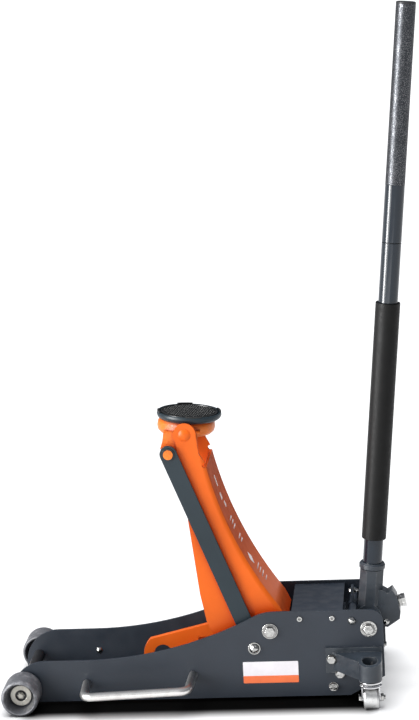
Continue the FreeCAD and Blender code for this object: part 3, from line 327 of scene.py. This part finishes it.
# painted shade: darker where the washers meet other pieces
paint_hollow_shade(WASHER, 0.006, (0.02, 0.02, 0.02))
CHROME = metal("satin_chrome", (0.66, 0.66, 0.67), 0.14, grain=(1, 1, 8), dirt=0.3, dents=0.0003)
CAST_CHROME = metal("satin_plated_bar", (0.74, 0.73, 0.71), 0.34, grain=(8, 1, 1), dirt=0.08)
STEEL = metal("machined_steel", (0.36, 0.355, 0.35), 0.28, grain=(1, 8, 1), dirt=0.5)
SPRING_STEEL = metal("spring_steel", (0.30, 0.30, 0.31), 0.35)
CASTER_STEEL = metal("caster_wheel_steel", (0.68, 0.685, 0.68), 0.36, dirt=0.6, dents=0.0003)
WHEEL = cast("roller_iron", (0.092, 0.095, 0.105), 0.46, metallic=0.1, grit_depth=0.0004, wear=0.7,
             bare=(0.34, 0.34, 0.36), scuffs=0.6)
# painted shade: darker in the wheel's recesses and round its hub
paint_hollow_shade(WHEEL, 0.03, (0.030, 0.032, 0.037))


def knurled_finish():
    """Painted knurl whose points are rubbed down to bright metal."""
    f = Finish("knurled_grip_paint", (0.05, 0.052, 0.056), 0.3, metallic=0.6)
    points = f.rise(f.cells(640), 0.40, 0.14)
    worn = f.math("MULTIPLY", points, f.rise(f.noise(26, 3), 0.35, 0.65, 0.35, 1.0))
    f.set("Base Color", f.mix(worn, (0.026, 0.029, 0.034), (0.42, 0.42, 0.44)))
    f.set("Roughness", f.rise(worn, 0.0, 1.0, 0.4, 0.22))
    f.bump(f.noise(900, 2), 0.00003)
    return f


GRIP = knurled_finish()


def rubber_finish(name, colour, roughness, pores, pore_depth, shine=0.5):
    """Rubber, foam or plastic: uneven tone and small pores."""
    f = Finish(name, colour, roughness)
    f.set("Specular IOR Level", shine)
    f.set("Base Color", f.mix(f.rise(f.noise(45, 5), 0.35, 0.7), tint(colour, 0.8), tint(colour, 1.35)))
    f.set("Roughness", f.rise(f.noise(150, 4), 0.3, 0.7, roughness - 0.08, roughness + 0.08))
    f.bump(f.noise(pores, 3, 0.65), pore_depth)
    return f


FOAM = rubber_finish("sleeve_foam", (0.004, 0.004, 0.004), 0.5, 700, 0.0002, shine=0.18)
PAD_RUBBER = rubber_finish("saddle_rubber", (0.008, 0.008, 0.008), 0.3, 500, 0.00006)
PAD_POINTS = rubber_finish("saddle_rubber_points", (0.22, 0.22, 0.215), 0.5, 500, 0.00005)
PLASTIC = rubber_finish("moulded_plastic", (0.02, 0.02, 0.021), 0.45, 600, 0.00003)


def sticker_finish(name, colour):
    """Printed film under a thin gloss."""
    f = Finish(name, colour, 0.32)
    f.set("Base Color", f.mix(f.rise(f.noise(60, 4), 0.4, 0.7), colour, tint(colour, 0.93)))
    f.bump(f.noise(500, 2), 0.00001)
    f.set("Coat Weight", 0.4)
    f.set("Coat Roughness", 0.12)
    return f


LABEL_WHITE = sticker_finish("sticker_white", (0.74, 0.71, 0.74))
LABEL_ORANGE = sticker_finish("sticker_orange", (0.78, 0.14, 0.025))
FADED_PRINT = sticker_finish("sticker_pale_print", (0.46, 0.30, 0.27))
PALE_PRINT = sticker_finish("sticker_light_print", (0.62, 0.56, 0.56))

# ---------------------------------------------------------------- CAD nodes

# node or node family: finish, width of the rounded edge in mm
FINISHES = {
    "side_plate": (FRAME, 0.7), "cover_plate": (FRAME, 0.6), "cross_channel": (FRAME, 0.6),
    "rear_tie_rod": (FRAME, 0.4), "pump_body": (FRAME, 0.8), "ram_cylinder": (FRAME, 0.6),
    "stop_post": (FRAME, 0.4),
    "caster_bracket": (FRAME_CASTING, 0.8), "handle_socket": (FRAME_CASTING, 0.6),
    "lift_arm": (ARM_PAINT, 0.8), "arm_pins": (ORANGE_PAINT, 0.4), "saddle_bracket": (ORANGE_CASTING, 1.2),
    "yoke_plate": (ORANGE_PAINT, 0.6), "yoke_tongue": (ORANGE_PAINT, 0.6),
    "link_bar": (LINK_PAINT, 0.6), "trunnion_clips": (LINK_PAINT, 0.2), "saddle_dish": (LINK_PAINT, 0.5),
    "front_wheel": (WHEEL, 0.8), "front_axle": (AXLE_PAINT, 0.3), "axle_fittings": (WASHER, 0.4),
    "main_shaft": (STEEL, 0.4), "shaft_bolts": (ZINC, 0.5), "handle_shaft": (STEEL, 0.4),
    "link_pin_fittings": (ZINC, 0.3), "link_pins": (STEEL, 0.3), "frame_bolts": (ZINC, 0.4),
    "plate_screws": (ZINC, 0.2), "stop_bolt": (ZINC, 0.3), "heel_bolts": (ZINC, 0.4),
    "cam_roller": (STEEL, 0.2), "piston_rod": (CHROME, 0.4), "pump_plunger": (CHROME, 0.3),
    "release_valve": (STEEL, 0.3), "caster_kingpins": (ZINC, 0.4), "caster_races": (CHROME, 0.3),
    "caster_fork": (CHROME, 0.3), "caster_axle": (ZINC, 0.3), "caster_wheel": (CASTER_STEEL, 0.4),
    "carry_handle": (CAST_CHROME, 0.0), "handle_lower_tube": (HANDLE_PAINT, 0.4),
    "handle_upper_tube": (HANDLE_PAINT, 0.4), "handle_joiner": (AXLE_PAINT, 0.2),
    "handle_cap": (PLASTIC, 0.4), "handle_sleeve": (FOAM, 1.2),
}
SHARP = math.radians(28)


def smooth(obj):
    for polygon in obj.data.polygons:
        polygon.use_smooth = True


def soften(obj, width):
    """Weld the imported mesh, join its flat faces, round its sharp edges and shade it by face area."""
    smooth(obj)
    weld = obj.modifiers.new("weld", "WELD")
    weld.merge_threshold = 0.01 * MM
    merge = obj.modifiers.new("flat_faces", "DECIMATE")
    merge.decimate_type = "DISSOLVE"
    merge.angle_limit = math.radians(0.5)
    if width:
        bevel = obj.modifiers.new("edges", "BEVEL")
        bevel.width = width * MM
        bevel.segments = 2
        bevel.limit_method = "ANGLE"
        bevel.angle_limit = SHARP
        bevel.use_clamp_overlap = True
        bevel.harden_normals = True
    normals = obj.modifiers.new("normals", "WEIGHTED_NORMAL")
    normals.keep_sharp = True
    normals.weight = 60


def dress(obj, finish):
    obj.data.materials.clear()
    obj.data.materials.append(finish.material)


def family(name):
    for suffix in ("_near", "_far"):
        if name.endswith(suffix):
            return name[:-len(suffix)]
    return name


for name, obj in frame["nodes"].items():
    if family(name) in FINISHES:
        finish, width = FINISHES[family(name)]
        dress(obj, finish)
        soften(obj, width)

# ---------------------------------------------------------------- new pieces

def add_mesh(name, points, faces, finish, body, stands_for=()):
    """New piece; without a body, the caller says what it rides on."""
    mesh = bpy.data.meshes.new(name)
    mesh.from_pydata(points, [], faces)
    mesh.validate()
    obj = bpy.data.objects.new(name, mesh)
    bpy.context.scene.collection.objects.link(obj)
    smooth(obj)
    dress(obj, finish)
    if body:
        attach(obj, body)
    if stands_for:
        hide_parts(*stands_for)
    return obj


def lattice(rows):
    """Faces of a grid of points given row by row; each row closes on itself."""
    width = len(rows[0])
    points = [p for row in rows for p in row]
    faces = []
    for i in range(len(rows) - 1):
        for j in range(width):
            k = (j + 1) % width
            faces.append((i * width + j, i * width + k, (i + 1) * width + k, (i + 1) * width + j))
    return points, faces


def tube_along(path, radius, sides):
    """Closed tube round a list of points, with flat ends."""
    rows = []
    normal = None
    for i, here in enumerate(path):
        ahead = (path[min(i + 1, len(path) - 1)] - path[max(i - 1, 0)]).normalized()
        if normal is None:
            normal = ahead.orthogonal().normalized()
        normal = (normal - ahead * normal.dot(ahead)).normalized()
        side = ahead.cross(normal)
        rows.append([here + radius * (math.cos(a) * normal + math.sin(a) * side)
                     for a in (2 * math.pi * s / sides for s in range(sides))])
    points, faces = lattice(rows)
    faces.append(tuple(reversed(range(sides))))
    faces.append(tuple(range(len(points) - sides, len(points))))
    return points, faces


# handle grip: rolled diamond knurl between two plain bands
HANDLE_FOOT = Vector(JOINTS["handle_twist"]["pos_m"])
HANDLE_AXIS = Vector(JOINTS["handle_twist"]["axis"]).normalized()
HANDLE_SIDE = HANDLE_AXIS.orthogonal().normalized()
HANDLE_OTHER_SIDE = HANDLE_AXIS.cross(HANDLE_SIDE)
GRIP_RADIUS, GRIP_INNER = 17 * MM, 14.5 * MM
BAND_LENGTH, BAND_DEPTH = 4 * MM, 0.1 * MM
KNURL_DEPTH = 0.55 * MM
KNURL_STARTS = 32
KNURL_PITCH = 3.4 * MM
KNURL_SLOPE = 2.6
KNURL_STEPS = 4


def along_handle(node):
    """Lowest and highest place of a CAD node along the handle's axis."""
    mesh = frame["nodes"][node].data
    places = [(v.co - HANDLE_FOOT).dot(HANDLE_AXIS) for v in mesh.vertices]
    return min(places), max(places)


def knurl(turns, height):
    """0 in the grooves and 1 on the diamonds of a two-way knurl."""
    one = (turns * KNURL_STARTS + height / KNURL_PITCH) % 1.0
    other = (turns * KNURL_STARTS - height / KNURL_PITCH) % 1.0
    return min(1.0, KNURL_SLOPE * min(abs(one - 0.5), abs(other - 0.5)))


def handle_ring(height, radii):
    """Points evenly spaced round the handle's axis, one for each radius."""
    ring = []
    for j, radius in enumerate(radii):
        angle = 2 * math.pi * (j / len(radii))
        outward = math.cos(angle) * HANDLE_SIDE + math.sin(angle) * HANDLE_OTHER_SIDE
        ring.append(HANDLE_FOOT + height * HANDLE_AXIS + radius * outward)
    return ring


def grip_rows():
    """Rings up the outside of the grip, with one ring at each end that turns in to the bore."""
    low, high = along_handle("handle_grip")
    around = KNURL_STARTS * KNURL_STEPS
    steps = int((high - low) / KNURL_PITCH * KNURL_STEPS)
    rows = [handle_ring(low, [GRIP_INNER] * around)]
    for i in range(steps + 1):
        height = low + (high - low) * i / steps
        if min(height - low, high - height) < BAND_LENGTH:
            depths = [BAND_DEPTH] * around
        else:
            depths = [KNURL_DEPTH * (1 - knurl(j / around, height)) for j in range(around)]
        rows.append(handle_ring(height, [GRIP_RADIUS - depth for depth in depths]))
    rows.append(handle_ring(high, [GRIP_INNER] * around))
    return rows


points, faces = lattice(grip_rows())
add_mesh("knurled_grip", points, faces, GRIP, "handle", ["handle_grip"])

# saddle pad: moulded rubber with rows of pyramids and four blocks on the rim
SADDLE_FOOT = Vector(JOINTS["saddle_swivel"]["pos_m"])
SADDLE_AXIS = Vector(JOINTS["saddle_swivel"]["axis"]).normalized()
SADDLE_TURN = Matrix.Translation(SADDLE_FOOT) @ Z.rotation_difference(SADDLE_AXIS).to_matrix().to_4x4()
PAD_RADIUS = 50.3 * MM
PAD_LOW, PAD_TOP = 6.1 * MM, 13.1 * MM
PAD_BORDER, PAD_BORDER_TOP = 2.4 * MM, 12.7 * MM
PAD_SIDES = 96
POINT_PITCH, POINT_HEIGHT = 5.6 * MM, 1.9 * MM
POINT_TURN = math.radians(38)
# half widths of a pyramid at its foot and at its tip, as shares of the pitch
POINT_FOOT, POINT_TIP = 0.46, 0.15
LUG_INNER, LUG_OUTER = 52.4 * MM, 56.3 * MM
LUG_LOW, LUG_TOP = 12.2 * MM, 14.5 * MM
LUG_TURN, LUG_SWEEP = math.radians(13), math.radians(29)


def pyramid_points(radius, pitch, turn):
    """Places of a turned square grid inside a circle."""
    half = int(radius / pitch) + 1
    for i in range(-half, half + 1):
        for j in range(-half, half + 1):
            x = pitch * (i * math.cos(turn) - j * math.sin(turn))
            y = pitch * (i * math.sin(turn) + j * math.cos(turn))
            if math.hypot(x, y) <= radius:
                yield x, y


def loop(bm, points):
    return [bm.verts.new(p) for p in points]


def bridge(bm, a, b):
    for s in range(len(a)):
        t = (s + 1) % len(a)
        bm.faces.new((a[s], a[t], b[t], b[s]))


def circle_points(radius, height):
    angles = [2 * math.pi * s / PAD_SIDES for s in range(PAD_SIDES)]
    return [(radius * math.cos(a), radius * math.sin(a), height) for a in angles]


def pad_disc(bm, low):
    """Disc with a raised border round its level floor, which lies at low."""
    profile = [(PAD_RADIUS, PAD_LOW), (PAD_RADIUS, low), (PAD_RADIUS - 0.3 * MM, PAD_BORDER_TOP - 0.5 * MM),
               (PAD_RADIUS - 0.9 * MM, PAD_BORDER_TOP), (PAD_RADIUS - PAD_BORDER, PAD_BORDER_TOP),
               (PAD_RADIUS - PAD_BORDER - 0.5 * MM, low)]
    rings = [loop(bm, circle_points(r, z)) for r, z in profile]
    bm.faces.new(list(reversed(rings[0])))
    for a, b in zip(rings, rings[1:]):
        bridge(bm, a, b)
    bm.faces.new(rings[-1])


def pyramid(bm, x, y, low):
    """Blunt pyramid that starts a little under the pad's floor; its tip has the second material."""
    corners = []
    for share, z in ((POINT_FOOT, low - 0.05 * MM), (POINT_TIP, PAD_TOP)):
        reach = POINT_PITCH * share * math.sqrt(2)
        angles = [POINT_TURN + math.pi / 4 + a * math.pi / 2 for a in range(4)]
        corners.append(loop(bm, [(x + reach * math.cos(a), y + reach * math.sin(a), z) for a in angles]))
    bm.faces.new(corners[1]).material_index = 1
    bridge(bm, corners[0], corners[1])


def rubber_pad():
    bm = bmesh.new()
    low = PAD_TOP - POINT_HEIGHT
    pad_disc(bm, low)
    for x, y in pyramid_points(PAD_RADIUS - PAD_BORDER - POINT_PITCH * 0.55, POINT_PITCH, POINT_TURN):
        pyramid(bm, x, y, low)
    for quarter in range(4):
        rim_block(bm, LUG_TURN + quarter * math.pi / 2)
    bmesh.ops.recalc_face_normals(bm, faces=bm.faces[:])
    bm.transform(SADDLE_TURN)
    mesh = bpy.data.meshes.new("saddle_pad_knurl")
    bm.to_mesh(mesh)
    bm.free()
    obj = bpy.data.objects.new("saddle_pad_knurl", mesh)
    bpy.context.scene.collection.objects.link(obj)
    for finish in (PAD_RUBBER, PAD_POINTS):
        mesh.materials.append(finish.material)
    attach(obj, "saddle")
    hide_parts("saddle_pad")


def rim_block(bm, middle):
    """One rubber block: a curved bar with a rounded top, closed at both ends."""
    inset = 0.8 * MM
    section = [(LUG_INNER, LUG_LOW), (LUG_INNER, LUG_TOP - inset), (LUG_INNER + inset, LUG_TOP),
               (LUG_OUTER - inset, LUG_TOP), (LUG_OUTER, LUG_TOP - inset), (LUG_OUTER, LUG_LOW)]
    steps = 12
    slices = []
    for i in range(steps + 1):
        angle = middle + LUG_SWEEP * (i / steps - 0.5)
        slices.append(loop(bm, [(r * math.cos(angle), r * math.sin(angle), z) for r, z in section]))
    for a, b in zip(slices, slices[1:]):
        bridge(bm, a, b)
    bm.faces.new(slices[0])
    bm.faces.new(slices[-1])


rubber_pad()


# coil springs in place of their plain tubes
COIL_STEPS, WIRE_SIDES = 20, 8
RETURN_WIRE, RETURN_TURNS = 1.0 * MM, 60
PLUNGER_WIRE, PLUNGER_TURNS = 0.7 * MM, 6


def coil(node, name, wire, turns):
    """Coil along X that fills a node's box; wire is its radius. Gives the piece and the wire's path."""
    low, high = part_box(node)
    middle = (low + high) / 2
    outer = (high.z - low.z) / 2
    reach = outer - wire
    start, end = low.x + wire, high.x - wire
    steps = turns * COIL_STEPS
    path = []
    for i in range(steps + 1):
        share = i / steps
        angle = 2 * math.pi * turns * share
        path.append(Vector((start + (end - start) * share, middle.y + reach * math.cos(angle),
                            middle.z + reach * math.sin(angle))))
    points, faces = tube_along(path, wire, WIRE_SIDES)
    return add_mesh(name, points, faces, SPRING_STEEL, None, [node]), path


# the real return springs shorten with the ram; these coils are built at one length and attached to no body.
# The plunger spring sits between the pump and the plunger's head
for side in ("near", "far"):
    obj, path = coil(f"return_spring_{side}", f"return_coil_{side}", RETURN_WIRE, RETURN_TURNS)
    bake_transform(obj)
obj, path = coil("plunger_spring", "plunger_coil", PLUNGER_WIRE, PLUNGER_TURNS)
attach(obj, "frame")
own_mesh(obj)


# blank two-tone stickers on the side plates: the strip is the lower part and stands a little prouder
LABEL_STRIP = 0.34
STICKER_THICK, STRIP_THICK = 0.3 * MM, 0.5 * MM
# how far the stickers' backs lie inside the outer faces of the CAD labels
STICKER_BACK = 0.6 * MM
CORNER_REACH, CORNER_STEPS = 1.5 * MM, 4


def sheet_patch(name, corners, thickness, outward, finish, body, stands_for=()):
    """Thin flat patch with rounded corners; corners go round it, outward is its face."""
    outline = []
    count = len(corners)
    for i, here in enumerate(corners):
        before = (corners[i - 1] - here).normalized()
        after = (corners[(i + 1) % count] - here).normalized()
        a, b = here + before * CORNER_REACH, here + after * CORNER_REACH
        for s in range(CORNER_STEPS + 1):
            t = s / CORNER_STEPS
            outline.append((1 - t) ** 2 * a + 2 * t * (1 - t) * here + t ** 2 * b)
    total = len(outline)
    points = outline + [p + outward * thickness for p in outline]
    faces = [tuple(range(total)), tuple(reversed(range(total, 2 * total)))]
    faces += [(i, (i + 1) % total, (i + 1) % total + total, i + total) for i in range(total)]
    obj = add_mesh(name, points, faces, finish, body, stands_for)
    for polygon in obj.data.polygons:
        polygon.use_smooth = False
    return obj


def rectangle(x0, x1, z0, z1, y):
    return [Vector((x0, y, z0)), Vector((x1, y, z0)), Vector((x1, y, z1)), Vector((x0, y, z1))]


label_low, label_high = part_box("label_plates")
split = label_low.z + LABEL_STRIP * (label_high.z - label_low.z)
for side, name in ((-1, "near"), (1, "far")):
    back = side * (abs(label_low.y) - STICKER_BACK)
    stands = ["label_plates"] if side < 0 else []
    sheet_patch(f"sticker_{name}", rectangle(label_low.x, label_high.x, label_low.z, label_high.z, back),
                STICKER_THICK, side * Y, LABEL_WHITE, "frame", stands)
    sheet_patch(f"sticker_strip_{name}", rectangle(label_low.x, label_high.x, label_low.z, split, back),
                STRIP_THICK, side * Y, LABEL_ORANGE, "frame")

# blank faded patches printed down the arm's hollowed top face
ARM_FOOT = Vector(JOINTS["lift_arm_hinge"]["pos_m"])
ARM_TIP = Vector(JOINTS["saddle_bracket_hinge"]["pos_m"])
ARM_ALONG = (ARM_TIP - ARM_FOOT).normalized()
ARM_UP = Y.cross(ARM_ALONG)
# underside and top of the print over that face, in mm
PRINT_LOW, PRINT_TOP = 0.02, 0.14


def circle_through(low, middle, high):
    """Centre and radius of the circle through three places."""
    a, b = middle - low, high - middle
    centre_u = ((low.length_squared - middle.length_squared) * b.y
                - (middle.length_squared - high.length_squared) * a.y) / (2 * (-a.x * b.y + b.x * a.y))
    centre_w = ((middle.length_squared - low.length_squared) / 2 - centre_u * a.x) / a.y
    return centre_u, centre_w, math.hypot(low.x - centre_u, low.y - centre_w)


# three places on the face, which is an arc: distance along the arm's pivot line and height over it, in mm
WEB_U, WEB_W, WEB_RADIUS = circle_through(Vector((24, 29)), Vector((168, 5.8)), Vector((312, 13)))


def web_height(along):
    """Height of the arm's top face over its pivot line, in mm."""
    return WEB_W - math.sqrt(WEB_RADIUS ** 2 - (along - WEB_U) ** 2)


def web_place(along, across, lift):
    return (ARM_FOOT + along * MM * ARM_ALONG + (web_height(along) + lift) * MM * ARM_UP
            + across * MM * Y)


def web_patch(name, along, across, length, width, turn, finish):
    """Thin blank print that follows the curve of the arm's top face."""
    steps = 6
    c, s = math.cos(math.radians(turn)), math.sin(math.radians(turn))
    rows = []
    for lift in (PRINT_LOW, PRINT_TOP):
        for i in range(steps + 1):
            for j in range(2):
                u, v = length * (i / steps - 0.5), width * (j - 0.5)
                rows.append(web_place(along + u * c - v * s, across + u * s + v * c, lift))
    half = 2 * (steps + 1)
    faces = []
    for i in range(steps):
        a = 2 * i
        faces.append((a, a + 2, a + 3, a + 1))
        faces.append((half + a, half + a + 1, half + a + 3, half + a + 2))
        faces.append((a, half + a, half + a + 2, a + 2))
        faces.append((a + 1, a + 3, half + a + 3, half + a + 1))
    faces.append((0, 1, half + 1, half))
    faces.append((2 * steps, half + 2 * steps, half + 2 * steps + 1, 2 * steps + 1))
    add_mesh(name, rows, faces, finish, "lift_arm")


# place along the arm and across it, length and width, in mm
PRINT_BARS = [
    (268, -10, 20, 9), (240, -16, 12, 16), (222, -6, 10, 12), (196, -12, 3, 30), (188, -10, 3, 26),
    (180, -14, 3, 32), (160, -12, 3, 30), (152, -12, 3, 24), (96, -8, 2.5, 36), (88, -10, 2.5, 32),
    (80, -8, 2.5, 36), (70, -6, 2.5, 26)]
web_patch("print_square", 118, -22, 17, 17, 45, PALE_PRINT)
for number, (along, across, length, width) in enumerate(PRINT_BARS):
    web_patch(f"print_bar_{number}", along, across, length, width, 0, FADED_PRINT)

# ---------------------------------------------------------------- floor, light and camera

# painted shadow: ground painted nearly black under the frame, and the width of its fade at each side, in
# metres
SHADOW_X, SHADOW_Y = (-0.362, 0.280), (-0.188, 0.13)
SHADOW_FADES = ((0.03, 0.024), (0.058, 0.05))
SHADOW_COLOUR = (0.003, 0.003, 0.003)


def stage_floor():
    bpy.ops.mesh.primitive_plane_add(size=120, location=(0, 0, 0))
    floor = bpy.context.object
    floor.name = "studio_floor"
    f = Finish("studio_floor_paint", (0.9, 0.9, 0.9), 0.7)
    pale = f.mix(f.rise(f.noise(2, 3), 0.3, 0.7), (0.86, 0.86, 0.86), (0.89, 0.89, 0.89))
    # painted shadow: the floor's colour goes nearly black under the frame
    f.set("Base Color", f.mix(f.inside(SHADOW_X, SHADOW_Y, SHADOW_FADES), pale, SHADOW_COLOUR))
    f.set("Specular IOR Level", 0.0)
    dress(floor, f)


def area_light(name, place, aim, size, power):
    data = bpy.data.lights.new(name, "AREA")
    data.shape = "RECTANGLE"
    data.size, data.size_y = size
    data.energy = power
    obj = bpy.data.objects.new(name, data)
    bpy.context.scene.collection.objects.link(obj)
    obj.location = place
    obj.rotation_euler = (Vector(aim) - Vector(place)).to_track_quat("-Z", "Y").to_euler()
    return obj


def studio_world():
    """Dim grey room, brighter overhead."""
    world = bpy.data.worlds.new("studio")
    bpy.context.scene.world = world
    world.use_nodes = True
    tree = world.node_tree
    tree.nodes.clear()
    out = tree.nodes.new("ShaderNodeOutputWorld")
    background = tree.nodes.new("ShaderNodeBackground")
    direction = tree.nodes.new("ShaderNodeTexCoord").outputs["Generated"]
    split = tree.nodes.new("ShaderNodeSeparateXYZ")
    ramp = tree.nodes.new("ShaderNodeValToRGB")
    tree.links.new(direction, split.inputs["Vector"])
    tree.links.new(split.outputs["Z"], ramp.inputs["Fac"])
    tree.links.new(ramp.outputs["Color"], background.inputs["Color"])
    tree.links.new(background.outputs["Background"], out.inputs["Surface"])
    stops = ramp.color_ramp.elements
    stops[0].position, stops[0].color = 0.0, (0.07, 0.075, 0.085, 1)
    stops[1].position, stops[1].color = 1.0, (0.40, 0.41, 0.44, 1)
    background.inputs["Strength"].default_value = 1.0


def overhead_sun(power, spread, lean):
    """Broad soft light from above, on jack and floor; it leaves no highlight of its own."""
    data = bpy.data.lights.new("overhead", "SUN")
    data.energy = power
    data.angle = math.radians(spread)
    obj = bpy.data.objects.new("overhead", data)
    bpy.context.scene.collection.objects.link(obj)
    obj.rotation_euler = Vector(lean).to_track_quat("-Z", "Y").to_euler()
    obj.visible_glossy = False


def only_the_jack(light):
    """Keep a light off the floor, so that the floor stays evenly lit."""
    lit = bpy.data.collections.new("lit_by_" + light.name)
    for obj in bpy.context.scene.objects:
        if obj.type == "MESH" and obj.name != "studio_floor":
            lit.objects.link(obj)
    light.light_linking.receiver_collection = lit


stage_floor()
studio_world()
overhead_sun(power=3.7, spread=60, lean=(0.08, 0.10, -1.0))
key = area_light("key_softbox", place=(-2.75, -1.95, 1.25), aim=(0.1, 0.0, 0.75),
                 size=(2.6, 2.4), power=150)
only_the_jack(key)
strip = area_light("strip_light", place=(-2.85, -1.75, 1.25), aim=(0.28, 0.0, 0.7),
                   size=(0.6, 2.5), power=210)
strip.visible_diffuse = False
only_the_jack(strip)
fill = area_light("low_fill", place=(-0.3, -2.3, 0.12), aim=(0.0, 0.0, 0.06),
                  size=(2.6, 0.5), power=8)
only_the_jack(fill)

CAMERA_PLACE = Vector((0.3687, -3.9775, 1.4358))
YAW, PITCH, ROLL = math.radians(-5.267), math.radians(11.882), math.radians(-3.114)
LENS_MM, SENSOR_MM = 116.83, 36


def place_camera():
    """Camera at the viewpoint, turned by yaw, then pitched down, then rolled."""
    forward = Vector((math.sin(YAW) * math.cos(PITCH), math.cos(YAW) * math.cos(PITCH), -math.sin(PITCH)))
    right = Vector((math.cos(YAW), -math.sin(YAW), 0))
    up = right.cross(forward)
    rolled_right = right * math.cos(ROLL) + up * math.sin(ROLL)
    rolled_up = -right * math.sin(ROLL) + up * math.cos(ROLL)
    data = bpy.data.cameras.new("camera")
    data.lens = LENS_MM
    data.sensor_width = SENSOR_MM
    camera = bpy.data.objects.new("camera", data)
    bpy.context.scene.collection.objects.link(camera)
    turn = Matrix((rolled_right, rolled_up, -forward)).transposed().to_4x4()
    camera.matrix_world = Matrix.Translation(CAMERA_PLACE) @ turn
    bpy.context.scene.camera = camera


place_camera()
bpy.context.scene.view_settings.view_transform = "Standard"
